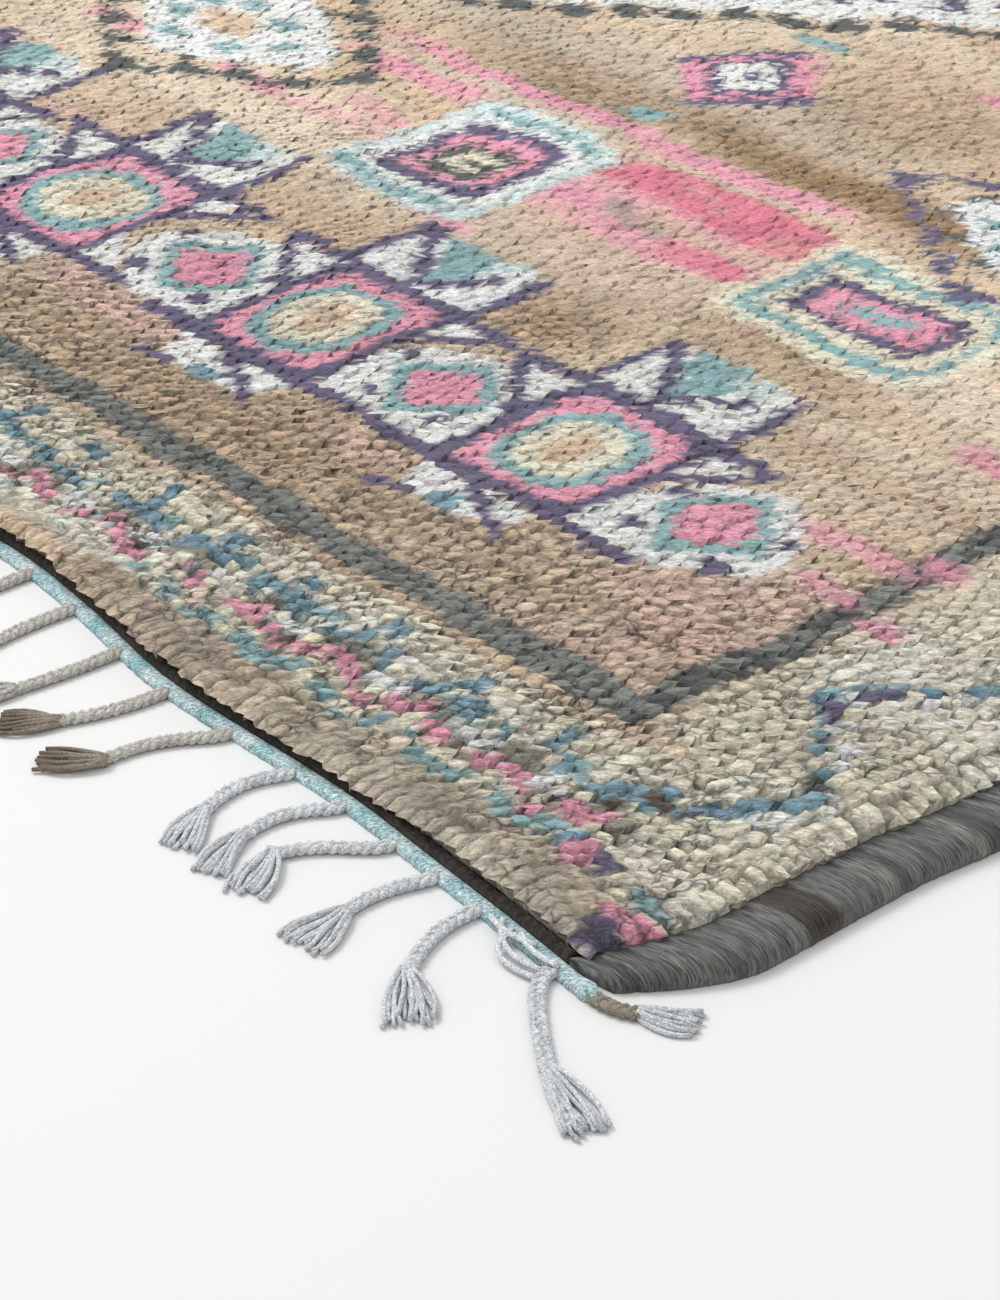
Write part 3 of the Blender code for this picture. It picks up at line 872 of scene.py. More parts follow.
TRIANGLE_BOX = [
    # yarn, kind, numbers
    ("white", "spot", 0.004, 0.104, 0.056, 0.036, 9.0),
    ("teal", "patch", (0.042, 0.142), (-0.034, 0.142), (0.006, 0.082)),
    ("pale_teal", "patch", (-0.004, 0.142), (-0.040, 0.142), (-0.012, 0.112)),
    ("plum", "line", 0.012, 0.058, 0.142, 0.008, 0.078),
    ("plum", "spot", -0.004, 0.090, 0.008, 0.007, 2.0),
    ("plum", "spot", -0.016, 0.103, 0.009, 0.006, 2.0),
    ("plum", "spot", -0.028, 0.116, 0.009, 0.006, 2.0),
    ("plum", "line", 0.012, 0.063, 0.070, 0.061, 0.142),
    ("plum", "line", 0.012, -0.056, 0.070, -0.055, 0.138),
]
FOOT = [
    # yarn, kind, numbers
    ("white", "patch", (0.052, -0.071), (-0.052, -0.071), (-0.048, -0.100), (0.040, -0.104)),
    ("blue", "spot", 0.000, -0.097, 0.014, 0.009, 2.0),
    ("plum", "line", 0.010, 0.010, -0.069, -0.052, -0.102),
    ("plum", "spot", 0.050, -0.107, 0.010, 0.007, 2.0),
    ("plum", "spot", 0.032, -0.103, 0.008, 0.006, 2.0),
]
ROSETTE = [
    # yarn, kind, numbers
    ("white", "spot", 0.000, -0.004, 0.062, 0.054, 1.7),
    ("plum", "spot", 0.036, -0.034, 0.011, 0.009, 2.0),
    ("plum", "spot", -0.034, -0.034, 0.012, 0.009, 2.0),
    ("plum", "spot", 0.048, 0.016, 0.008, 0.007, 2.0),
    ("plum", "spot", -0.046, 0.014, 0.007, 0.007, 2.0),
    ("teal", "spot", 0.000, 0.000, 0.044, 0.044, 1.1),
    ("pink", "spot", 0.000, 0.000, 0.029, 0.029, 1.25),
]
SQUARE_PLACES = [
    # u, v
    (0.444, 0.320), (0.682, 0.323), (0.947, 0.330), (1.190, 0.322),
]
ROSETTE_PLACES = [
    # u, v
    (0.318, 0.318), (0.556, 0.314), (0.803, 0.322), (1.066, 0.325), (1.314, 0.320),
]

for u, v in ROSETTE_PLACES:
    draw(ROSETTE, u, v)
for u, v in SQUARE_PLACES:
    draw(FOOT, u, v)
    draw(TRIANGLE_BOX, u, v)
    draw(SQUARE, u, v)
print(len(SQUARE_PLACES), "squares and", len(ROSETTE_PLACES), "rosettes")

# %% [markdown]
# ## The other field motifs
# Above the row stand two nested boxes joined by a hot pink patch, then white lozenges edged with
# dark stepped blocks, and a small striped lozenge between them. Short dashes of pink lie between
# all of these. Nested shapes are drawn from the outermost inwards, each over the last.

# %% Tie the nested boxes and the pink patch
PINK_PARTS = [
    # yarn, u, v, half_u, half_v, strength
    ("fuchsia", 0.645, 0.618, 0.100, 0.024, 1.00),
    ("pink", 0.650, 0.563, 0.095, 0.028, 0.75),
    ("fuchsia", 0.580, 0.556, 0.040, 0.013, 0.90),
    ("pink", 0.690, 0.561, 0.050, 0.009, 0.75),
    ("olive", 0.662, 0.567, 0.034, 0.010, 0.75),
    ("tan", 0.610, 0.578, 0.050, 0.008, 0.70),
    ("pink", 0.800, 0.664, 0.220, 0.008, 0.95),
    ("pink", 0.640, 0.672, 0.070, 0.008, 0.90),
    ("pink", 0.965, 0.628, 0.070, 0.012, 0.85),
    ("pink", 0.925, 0.562, 0.035, 0.008, 0.60),
    ("pink", 0.945, 0.537, 0.060, 0.009, 0.45),
    ("pink", 0.760, 0.476, 0.034, 0.008, 0.80),
    ("pink", 0.240, 0.355, 0.042, 0.008, 0.70),
    ("pink", 0.220, 0.312, 0.022, 0.007, 0.75),
    ("pink", 0.265, 0.485, 0.022, 0.009, 0.80),
    ("pink", 0.165, 0.420, 0.016, 0.010, 0.85),
    ("pink", 0.171, 0.304, 0.014, 0.009, 0.95),
    ("pink", 0.190, 0.374, 0.014, 0.008, 0.90),
    ("pink", 1.210, 0.535, 0.035, 0.009, 0.75),
    ("pink", 1.045, 0.536, 0.032, 0.010, 0.85),
    ("pink", 0.635, 0.890, 0.016, 0.008, 0.80),
]
SQUARE_BOX = [
    # yarn, kind, numbers
    ("pale_teal", "spot", 0.000, 0.000, 0.078, 0.084, 6.0),
    ("teal", "spot", 0.010, -0.066, 0.060, 0.009, 3.0),
    ("teal", "spot", 0.000, 0.066, 0.055, 0.008, 3.0),
    ("white", "spot", 0.000, 0.000, 0.066, 0.062, 6.0),
    ("plum", "spot", 0.000, 0.000, 0.054, 0.053, 7.0),
    ("pink", "spot", -0.001, 0.000, 0.041, 0.039, 7.0),
    ("charcoal", "spot", 0.000, -0.004, 0.031, 0.028, 7.0),
    ("cream", "spot", 0.000, -0.003, 0.020, 0.015, 7.0),
    ("charcoal", "line", 0.007, 0.000, -0.004, -0.022, -0.004),
]
SQUARE_BOX_PLACE = (0.817, 0.555)
WIDE_BOX = [
    # yarn, kind, numbers
    ("cream", "spot", 0.000, 0.000, 0.094, 0.069, 7.0),
    ("teal", "spot", 0.002, 0.000, 0.082, 0.056, 9.0),
    ("cream", "spot", 0.000, 0.000, 0.071, 0.043, 9.0),
    ("plum", "spot", 0.000, 0.000, 0.062, 0.029, 9.0),
    ("pink", "spot", 0.000, 0.000, 0.049, 0.018, 9.0),
    ("teal", "spot", 0.000, 0.000, 0.034, 0.007, 4.0),
]
WIDE_BOX_PLACE = (0.447, 0.578)
PART_POWER = 4
PART_EDGE = 1.25
PART_SHARPNESS = 3
# mean and swing
PART_WEAR = (1.1, 0.9)

worn = amount(noise_field(chart_points, *NOISES["worn_pink"]), *PART_WEAR)
for yarn, u, v, half_u, half_v, strength in PINK_PARTS:
    away = np.abs((in_side - u) / half_u) ** PART_POWER + np.abs((in_front - v) / half_v) ** PART_POWER
    inside = np.clip((PART_EDGE - away ** (1 / PART_POWER)) * PART_SHARPNESS, 0, 1)
    tint(yarn, strength * inside * worn)
draw(SQUARE_BOX, *SQUARE_BOX_PLACE)
draw(WIDE_BOX, *WIDE_BOX_PLACE)
print("two nested boxes and", len(PINK_PARTS), "pink and faded parts")

# %% [markdown]
# The lozenges' dark edges are single blocks of knots set corner to corner. A lozenge kept only
# where a coarse checkerboard is dark gives those steps without placing each block.

# %% Tie the lozenges
BLOCK_U = 0.034
BLOCK_V = 0.024


def stepped_lozenge(yarn, u, v, half_u, half_v):
    """Tie a lozenge whose edge is broken into blocks, corner to corner."""
    column = np.floor(np.abs(in_side - u) / BLOCK_U)
    row = np.floor(np.abs(in_front - v) / BLOCK_V)
    reach = np.abs(in_side - u) / half_u + np.abs(in_front - v) / half_v
    tie(yarn, (reach <= 1) & ((column + row) % 2 == 0))


def nested_lozenges(rows, u, v, power):
    """Draw lozenges from the outermost inwards, with stepped edges or smooth ones."""
    for yarn, half_u, half_v, is_stepped in rows:
        if is_stepped:
            stepped_lozenge(yarn, u, v, half_u, half_v)
        else:
            spot(yarn, u, v, half_u, half_v, power)


LEFT_LOZENGE = [
    # yarn, half_u, half_v, is_stepped
    ("charcoal", 0.180, 0.124, True),
    ("white", 0.112, 0.076, False),
]
RIGHT_LOZENGE = [
    # yarn, half_u, half_v, is_stepped
    ("plum", 0.174, 0.120, True),
    ("charcoal", 0.146, 0.101, True),
    ("white", 0.104, 0.071, False),
]
SMALL_LOZENGES = [
    # u, v, rows
    (1.135, 0.590, LEFT_LOZENGE), (0.430, 0.745, RIGHT_LOZENGE),
]
SMALL_POWER = 1.15
SMALL_SPOTS = [
    # yarn, du, dv, half_u, half_v
    ("teal", -0.056, 0.004, 0.014, 0.009),
    ("teal", -0.022, -0.028, 0.014, 0.009),
    ("teal", -0.020, 0.030, 0.015, 0.010),
    ("teal", 0.028, 0.036, 0.014, 0.009),
    ("teal", 0.030, -0.036, 0.016, 0.009),
    ("teal", 0.058, -0.010, 0.015, 0.010),
    ("teal", 0.060, 0.018, 0.014, 0.009),
    ("tan", 0.014, 0.004, 0.030, 0.018),
]

for u, v, rows in SMALL_LOZENGES:
    nested_lozenges(rows, u, v, SMALL_POWER)
    for yarn, du, dv, half_u, half_v in SMALL_SPOTS:
        spot(yarn, u + du, v + dv, half_u, half_v, ROUND_POWER)
print(len(SMALL_LOZENGES), "white lozenges with stepped edges")

# %% [markdown]
# One much larger lozenge fills the middle of each half, and small striped ones stand round it.

# %% Tie the large and the striped lozenges
LARGE_LOZENGE = [
    # yarn, half_u, half_v, is_stepped
    ("charcoal", 0.390, 0.276, True),
    ("white", 0.338, 0.238, False),
    ("plum", 0.300, 0.210, True),
    ("white", 0.272, 0.190, False),
    ("teal", 0.240, 0.168, False),
    ("cream", 0.215, 0.150, False),
    ("plum", 0.170, 0.118, True),
    ("pink", 0.142, 0.098, False),
    ("tan", 0.100, 0.070, False),
    ("teal", 0.050, 0.034, False),
]
STRIPED_LOZENGE = [
    # yarn, kind, numbers
    ("plum", "spot", 0.000, 0.000, 0.072, 0.066, 1.0),
    ("pink", "spot", 0.010, -0.008, 0.052, 0.048, 1.0),
    ("pink", "spot", -0.010, 0.012, 0.052, 0.050, 1.0),
    ("plum", "spot", 0.000, 0.002, 0.044, 0.042, 1.0),
    ("white", "spot", 0.002, 0.002, 0.032, 0.030, 1.0),
    ("plum", "spot", -0.002, 0.004, 0.012, 0.010, 1.0),
    ("teal", "spot", 0.004, -0.092, 0.020, 0.015, 1.6),
    ("teal", "spot", 0.012, 0.088, 0.026, 0.013, 2.0),
]
LARGE_PLACE = (1.070, 1.000)
LARGE_POWER = 1.05
STRIPED_PLACES = [
    # u, v
    (0.787, 0.788), (0.400, 1.040), (1.300, 0.760),
]

nested_lozenges(LARGE_LOZENGE, *LARGE_PLACE, LARGE_POWER)
for u, v in STRIPED_PLACES:
    draw(STRIPED_LOZENGE, u, v)
print("the large lozenge is", 2 * LARGE_LOZENGE[0][1], "m across")

# %% [markdown]
# ## Uneven dye
# Hand-spun yarn never takes dye evenly, so each lock ends a little lighter or darker and a little
# warmer or cooler than the next. The motifs were brushed smoother than the ground round them near
# the front, and the coarse brown streaks less, which softened keeps for the pile's finish. The
# deeper a point lies in a crack, the darker it is, because little light gets in.

# %% Vary every lock and shade the cracks
VALUE_SPREAD = 0.038
POINT_VALUE_SPREAD = 0.030
HUE_SPREAD = 0.014
DEEPEST = 0.0042
DEEP_SHADE = 0.46
DEEP_POWER = 0.8
MOTIF_BRUSHED = 0.60
ROUGH_OPEN = 0.9
SHADE_SOFTENED = 0.68
PATCHES = [
    # waves a metre, share
    (9.0, 0.12), (38.0, 0.13), (85.0, 0.11),
]
PATCH_LAYER = 6.6
PATCH_STRETCH = 1.8
LIGHT_LIMITS = (0.01, 0.95)

on_motif = (in_field & np.any(knot_colour != ground_colour, axis=1)).reshape(heights.shape)
softened = np.maximum(brushed, MOTIF_BRUSHED * on_motif)
rough = roughened.reshape(heights.shape) * ~on_motif
softened *= 1 - ROUGH_OPEN * rough
heights += depth * MOTIF_BRUSHED * on_motif * (1 - brushed)
rough_depth = depth * rough * brushed
heights -= rough_depth
depth += rough_depth
depth *= 1 - softened * SHADE_SOFTENED
lock_value = 1 + rng.normal(0, VALUE_SPREAD, lock_count)
lock_hue = 1 + rng.normal(0, HUE_SPREAD, (lock_count, 3))
knot_colour *= lock_value[flat_numbers][:, None] * lock_hue[flat_numbers]
for waves, share in PATCHES:
    knot_colour *= 1 + share * noise_field(knots, waves, PATCH_LAYER, PATCH_STRETCH)[:, None]
knot_colour *= 1 + rng.normal(0, POINT_VALUE_SPREAD, len(knots))[:, None]
knot_colour *= 1 - DEEP_SHADE * np.clip(depth.ravel() / DEEPEST, 0, 1)[:, None] ** DEEP_POWER
knot_colour = np.clip(knot_colour, *LIGHT_LIMITS)
print("mean yarn light", knot_colour.mean(axis=0).round(3))

# %% [markdown]
# ## Wool and cotton finishes
# Yarn is a bundle of fine fibres, so its surface is streaked along the way the fibres lie and
# scatters light softly. One recipe makes every yarn: the colour comes from the piece's own yarn
# attribute, and stretched noise ridges it and streaks it, painted lighter on the ridges and darker
# between them, which is painted light and shade along with the fibres' own uneven tone. Thin lines
# of painted shade then part it into soft clumps, each painted darker towards its edge, with fewer
# lines where the brushed attribute is high. Noise on Object coordinates never needs unwrapping and
# doesn't swim in other views.

# %% Start with small node helpers
def set_numbers(node, numbers):
    """Set a node's own sockets."""
    for socket, number in numbers.items():
        node.inputs[socket].default_value = number


def turned_places(nodes, links, turn, scale):
    """Object coordinates turned about the upright axis and scaled along, across and up."""
    coordinates = nodes.new("ShaderNodeTexCoord")
    turned = nodes.new("ShaderNodeMapping")
    turned.vector_type = "TEXTURE"
    turned.inputs["Rotation"].default_value = (0.0, 0.0, turn)
    turned.inputs["Scale"].default_value = [1 / number for number in scale]
    links.new(coordinates.outputs["Object"], turned.inputs["Vector"])
    return turned.outputs["Vector"]


def noise_node(nodes, links, vector, numbers):
    """A noise texture at a vector."""
    node = nodes.new("ShaderNodeTexNoise")
    set_numbers(node, numbers)
    links.new(vector, node.inputs["Vector"])
    return node


def map_range(nodes, links, value, low, high, to_low, to_high, smooth=False):
    """A value moved from one range to another."""
    node = nodes.new("ShaderNodeMapRange")
    set_numbers(node, {"From Min": low, "From Max": high, "To Min": to_low, "To Max": to_high})
    if smooth:
        node.interpolation_type = "SMOOTHSTEP"
    links.new(value, node.inputs["Value"])
    return node.outputs["Result"]


def multiply(nodes, links, first, second):
    """The product of two values."""
    node = nodes.new("ShaderNodeMath")
    node.operation = "MULTIPLY"
    links.new(first, node.inputs[0])
    links.new(second, node.inputs[1])
    return node.outputs["Value"]


def less(nodes, links, value):
    """One less a value."""
    node = nodes.new("ShaderNodeMath")
    node.operation = "SUBTRACT"
    node.inputs[0].default_value = 1.0
    links.new(value, node.inputs[1])
    return node.outputs["Value"]


def attribute(nodes, name):
    """A piece's own named attribute."""
    node = nodes.new("ShaderNodeAttribute")
    node.attribute_name = name
    return node


print("small node helpers are ready")

# %% [markdown]
# Cells that are long along the fibres stand for the clumps. How far a place is from its cell's edge
# gives the thin line of painted shade between two clumps, the painted shade that darkens each clump
# towards its edge, and their rounded tops, and a slower noise closes the lines in places.

# %% Paint shade into the cracks between clumps
WANDER_NOISE = {"Scale": 0.9, "Detail": 2.0}
WANDER_REACH = 1.2
LINE_HALF = 0.09
CLUMP_SLOPE = 0.34
OPEN_NOISE = {"Scale": 0.45}
OPEN_RANGE = (0.38, 0.66)
OPEN_WHERE_BRUSHED = 0.26


def painted_crack_shade(nodes, links, turn, scale, darkest_painted_shade):
    """Long cells in two values: painted shade, low in the cracks and towards each edge, and rounded height.
    """
    at = turned_places(nodes, links, turn, scale)
    wander = noise_node(nodes, links, at, WANDER_NOISE)
    shifted = nodes.new("ShaderNodeVectorMath")
    shifted.operation = "MULTIPLY_ADD"
    shifted.inputs[1].default_value = (WANDER_REACH,) * 3
    links.new(wander.outputs["Color"], shifted.inputs[0])
    links.new(at, shifted.inputs[2])
    cells = nodes.new("ShaderNodeTexVoronoi")
    cells.feature = "DISTANCE_TO_EDGE"
    cells.inputs["Scale"].default_value = 1.0
    links.new(shifted.outputs["Vector"], cells.inputs["Vector"])
    from_edge = cells.outputs["Distance"]
    line_here = map_range(nodes, links, from_edge, 0.0, LINE_HALF, 1.0, 0.0)
    edge_shade_and_rounding = map_range(nodes, links, from_edge, 0.0, CLUMP_SLOPE, 0.5 + 0.5 * darkest_painted_shade, 1.0, smooth=True)
    openness = noise_node(nodes, links, at, OPEN_NOISE).outputs["Fac"]
    line_depth = map_range(nodes, links, openness, *OPEN_RANGE, 0.0, 1 - darkest_painted_shade)
    brush = attribute(nodes, "brushed").outputs["Fac"]
    left_open = map_range(nodes, links, brush, 0.0, 1.0, 1.0, OPEN_WHERE_BRUSHED)
    # painted shade: the crack lines and the darkening towards each clump's edge both go into the colour
    line_shade = less(nodes, links, multiply(nodes, links, line_here, line_depth))
    gloom = less(nodes, links, multiply(nodes, links, line_shade, edge_shade_and_rounding))
    gloom = multiply(nodes, links, gloom, left_open)
    return less(nodes, links, gloom), edge_shade_and_rounding


print("cracks are", LINE_HALF, "of a clump wide on each side")

# %% [markdown]
# The recipe joins these. Its table says which way the fibres of each yarn lie, how fine they are
# and how strongly they show. The pile's fibres follow the comb, and a selvedge's run round its cord.

# %% Write the yarn recipe
WOOL = {"Roughness": 0.88, "Specular IOR Level": 0.25, "Sheen Weight": 0.22, "Sheen Roughness": 0.45}
FIBRE_NOISE = {"Scale": 1.0, "Detail": 4.0, "Roughness": 0.72, "Distortion": 0.35}
FIBRE_RANGE = (0.34, 0.66)
RIDGE_STRENGTH = 0.9
FINISHES = [
    # name, way of the fibres in degrees, how fine along, across and up, streaks painted lighter on
    # the ridges, ridges, how fine the clumps are and how dark the painted shade between them is, and
    # the yarn where it is the same all over
    ("pile_wool", 38.0, (240, 720, 500), 0.40, 0.0036, ((64, 110, 70), 0.16), None),
    ("ground_wool", 0.0, (160, 420, 420), 0.20, 0.0006, None, "brown"),
    ("wrap_wool", 2.0, (75, 1150, 110), 0.80, 0.0015, ((38, 760, 50), 0.36), None),
    ("band_wool", 35.0, (140, 600, 600), 0.35, 0.0010, ((190, 420, 300), 0.35), None),
    ("strip_weave", 60.0, (340, 760, 500), 0.70, 0.0008, ((300, 640, 400), 0.45), None),
    ("braid_cotton", 90.0, (260, 900, 900), 0.30, 0.0007, ((420, 760, 700), 0.40), None),
]


def yarn_material(name, turn, scale, streaks, ridge_height, clumps, one_yarn):
    """A fibrous finish, made from one row of the table."""
    material, nodes, links, shader = new_material(name)
    set_numbers(shader, WOOL)
    height = noise_node(nodes, links, turned_places(nodes, links, turn, scale), FIBRE_NOISE).outputs["Fac"]
    # painted light and shade along with the fibres' own tone: the noise that raises the ridges also paints
    # the colour lighter on them and darker between them
    value = map_range(nodes, links, height, *FIBRE_RANGE, 1 - streaks, 1 + streaks)
    if clumps:
        shade, roundness = painted_crack_shade(nodes, links, turn, *clumps)
        # the painted shade of the cracks and clump edges darkens the colour here
        value = multiply(nodes, links, value, shade)
        height = multiply(nodes, links, height, roundness)
    toned = nodes.new("ShaderNodeHueSaturation")
    links.new(value, toned.inputs["Value"])
    if one_yarn:
        toned.inputs["Color"].default_value = (*yarn_light[one_yarn], 1.0)
    else:
        links.new(attribute(nodes, "yarn").outputs["Color"], toned.inputs["Color"])
    links.new(toned.outputs["Color"], shader.inputs["Base Color"])
    ridges = nodes.new("ShaderNodeBump")
    set_numbers(ridges, {"Strength": RIDGE_STRENGTH, "Distance": ridge_height})
    links.new(height, ridges.inputs["Height"])
    links.new(ridges.outputs["Normal"], shader.inputs["Normal"])
    return material


finishes = {name: yarn_material(name, radians(turn), *rest) for name, turn, *rest in FINISHES}
print(len(finishes), "yarn finishes")

# %% [markdown]
# ## The ground cloth
# Under the pile lies a firm cloth of warp and weft that holds every knot. Only its underside would
# ever be seen, so it is one plain closed sheet that follows the rug's outline.

# %% Weave the ground cloth
CLOTH_CELLS = (40, 64)
CLOTH_THICKNESS = 0.0065
CLOTH_INSET = 0.996


def open_edges(mesh):
    """The edges that have only one face."""
    return [edge for edge in mesh.edges if edge.is_boundary]


def face_outwards(mesh):
    """Make all faces of a closed bmesh look outwards."""
    bmesh.ops.recalc_face_normals(mesh, faces=mesh.faces)
    if mesh.calc_volume(signed=True) < 0:
        bmesh.ops.reverse_faces(mesh, faces=mesh.faces)


def close_below(mesh, height):
    """Drop the open rim to a height and close it there."""
    grown = bmesh.ops.extrude_edge_only(mesh, edges=open_edges(mesh))["geom"]
    for item in grown:
        if isinstance(item, bmesh.types.BMVert):
            item.co.z = height
    bmesh.ops.contextual_create(mesh, geom=open_edges(mesh))
    face_outwards(mesh)


def finish_piece(piece, finish, node):
    """Give a piece its finish, hang it under the root and hide the solid that it stands for."""
    piece.data.materials.append(finishes[finish])
    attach(piece, "root")
    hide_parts(node)
    return piece


mesh = bmesh.new()
bmesh.ops.create_grid(mesh, x_segments=CLOTH_CELLS[0], y_segments=CLOTH_CELLS[1], size=0.5)
for vert in mesh.verts:
    shares = (0.5 + CLOTH_INSET * number for number in vert.co.xy)
    vert.co = (*place_on_pile(*shares), CLOTH_THICKNESS)
close_below(mesh, 0.0)
ground_cloth = finish_piece(add_object("ground_cloth", mesh), "ground_wool", "pile_body")
print("ground cloth", len(ground_cloth.data.polygons), "faces")

# %% [markdown]
# ## The pile
# Particle hair could grow the pile, but hair isn't kept in an exported model. Here a grid is laid
# over the cloth and each of its points goes to its place in a lock, a lip or a crack. The rug is
# made in bands that meet in a crack, so that no piece is too heavy. Wool has no hard surface, so
# the shading normals are turned more than halfway towards straight up, which takes the glassy
# roundness away.

# %% Grow the pile, band by band
BANDS = 4
PILE_FOOT = 0.0050
SOFTNESS = 0.60
UP = Vector((0.0, 0.0, 1.0))

knot_colour = knot_colour.reshape(*heights.shape, 3)


def pile_band(name, first, last):
    """The pile from one crack line to another, as one closed piece."""
    mesh = bmesh.new()
    colour = mesh.verts.layers.float_color.new("yarn")
    softness = mesh.verts.layers.float.new("brushed")
    bmesh.ops.create_grid(mesh, x_segments=COLUMNS, y_segments=last - first, size=0.5)
    for vert in mesh.verts:
        column = round((vert.co.x + 0.5) * COLUMNS)
        row = first + round((vert.co.y + 0.5) * (last - first))
        vert.co = (*places[row, column], heights[row, column])
        vert[colour] = (*knot_colour[row, column], 1.0)
        vert[softness] = softened[row, column]
    mesh.normal_update()
    soft = [vert.normal.lerp(UP, SOFTNESS).normalized() for vert in mesh.verts]
    close_below(mesh, PILE_FOOT)
    soft += [-UP] * (len(mesh.verts) - len(soft))
    band = add_object(name, mesh)
    band.data.normals_split_custom_set_from_vertices(soft)
    return finish_piece(band, "pile_wool", "pile_body")


cuts = [3 * round(LOCK_ROWS * i / BANDS) for i in range(BANDS + 1)]
pile_bands = [
    pile_band(f"pile_{i + 1}", first, last) for i, (first, last) in enumerate(zip(cuts, cuts[1:]))
]
print("pile faces", [len(band.data.polygons) for band in pile_bands])

# %% [markdown]
# ## Rolled pieces
# The selvedges, bands, strips, braids and tassels are all long and round. Each is a grid rolled up:
# one way of the grid runs along the piece and the other round it, the seam is welded and the ends
# are filled. A curve with a bevel would be quicker, but its ring could not change form on the way.

# %% Roll a grid into a closed piece
WELD = 1e-6


def rolled(rings, colours):
    """A closed bmesh through rings of points, with a yarn colour for each ring."""
    along, around = len(rings) - 1, len(rings[0])
    mesh = bmesh.new()
    layer = mesh.verts.layers.float_color.new("yarn")
    bmesh.ops.create_grid(mesh, x_segments=along, y_segments=around, size=0.5)
    for vert in mesh.verts:
        i = round((vert.co.x + 0.5) * along)
        j = round((vert.co.y + 0.5) * around) % around
        vert.co = rings[i][j]
        vert[layer] = (*colours[i], 1.0)
    bmesh.ops.remove_doubles(mesh, verts=mesh.verts, dist=WELD)
    bmesh.ops.holes_fill(mesh, edges=open_edges(mesh), sides=0)
    face_outwards(mesh)
    return mesh


def noise_at(*place):
    """Smooth noise from about -1 to 1 at three numbers."""
    return noise.noise(Vector(place))


print("pieces are welded at", WELD * 1000000, "microns")

# %% [markdown]
# ## The selvedges
# Each long side is a thick outer cord and a flatter inner strip, overcast together with grey wool
# that was wound round and round. Rings about two millimetres apart follow the winding, each a
# little prouder or flatter than the last, and the finer strands are left to the finish. Each ring's
# grey drifts darker and lighter along the side, and on top of that the prouder rings are painted
# lighter and the flatter ones darker, as painted light and shade. A short stretch of the right side
# is wound in dark brown, with the same painted light on its prouder rings.

# %% Wind the selvedges
WRAP_PITCH = 0.0022
WRAP_SLANT = 0.0050
WRAP_RIDGE = 0.055
RIDGES_PER_METRE = 160.0
FINE_RIDGES_PER_METRE = 420.0
FINE_RIDGE = 0.8
RIDGE_OUT = 0.0007
RIDGE_OUT_TO = 0.2
SELVEDGE_RIPPLE = 0.0026
RIPPLE_OUT_TO = 0.1
SELVEDGE_SWELL = 0.06
RIPPLES_PER_METRE = 9
SELVEDGE_TAPER = (0.35, 0.040)
GREY_MEAN = 0.45
GREY_SWING = 0.8
# painted light: how much lighter a prouder ring is painted
RIDGE_PAINTED_LIGHT = 0.5
GREYS_PER_METRE = 70.0
BROWN_WRAP = (-1.161, -1.139)
# mean, and swing with the ridges, which paints the prouder rings lighter as painted light
BROWN_TONE_AND_RIDGE_LIGHT = (0.42, 0.1)
WRAP_SECTION = [
    # inward, height
    (0.03, 0.0000), (0.00, 0.0048), (0.035, 0.0082), (0.12, 0.0112), (0.28, 0.0130), (0.45, 0.0130),
    (0.62, 0.0122), (0.82, 0.0112), (1.00, 0.0100), (1.00, 0.0000), (0.50, 0.0000),
]


def selvedge(name, side, node):
    """One overcast edge, from end strip to end strip."""
    start, stop = selvedge_start(side, -1), selvedge_start(side, 1)
    count = round((stop - start) / WRAP_PITCH)
    rings, colours = [], []
    for i in range(count + 1):
        y = start + (stop - start) * i / count
        ripple = noise_at(side, y * RIPPLES_PER_METRE, 0.0)
        ridge = noise_at(side * 3.0, y * RIDGES_PER_METRE, 1.0)
        ridge += FINE_RIDGE * noise_at(side, y * FINE_RIDGES_PER_METRE, 2.0)
        taller = 1 + SELVEDGE_SWELL * ripple + WRAP_RIDGE * ridge
        taller *= 1 - SELVEDGE_TAPER[0] * max(1 - min(y - start, stop - y) / SELVEDGE_TAPER[1], 0)
        ring = []
        for inward, height in WRAP_SECTION:
            at = min(max(y + WRAP_SLANT * (0.5 - inward), start), stop)
            out = SELVEDGE_RIPPLE * ripple * (inward < RIPPLE_OUT_TO)
            out += RIDGE_OUT * ridge * (inward < RIDGE_OUT_TO)
            x = side_edge(at, side) - side * (selvedge_width(at, side) * inward - out)
            ring.append((x, at, height * taller))
        rings.append(ring)
        # painted light and shade: the ridge term paints prouder rings lighter, on top of the grey's own
        # drift
        grey = GREY_MEAN + GREY_SWING * noise_at(side, y * GREYS_PER_METRE, 6.0) + RIDGE_PAINTED_LIGHT * ridge
        colour = mix(yarn_light["wrap_dark"], yarn_light["wrap_grey"], min(max(grey, 0), 1))
        if side > 0 and BROWN_WRAP[0] < y < BROWN_WRAP[1]:
            # painted light: the brown is painted lighter on prouder rings
            colour = yarn_light["umber"] * (BROWN_TONE_AND_RIDGE_LIGHT[0] + BROWN_TONE_AND_RIDGE_LIGHT[1] * ridge)
        colours.append(colour)
    wrap = add_object(name, rolled(rings, colours))
    return finish_piece(wrap, "wrap_wool", node)


wraps = [
    selvedge("wrap_right", 1, "selvedge_right"), selvedge("wrap_left", -1, "selvedge_left"),
]
print("each selvedge has", len(wraps[0].data.polygons), "faces")

# %% [markdown]
# ## The dark bands and the teal strips
# A pair of dark brown yarns twined round each other closes the pile at each end, and a flat weave
# in teal holds the warps outside it. The twining shows as slanted ridges and the weave as finer
# cross ribs with paler warps between, so both are the same rolled piece with other numbers.

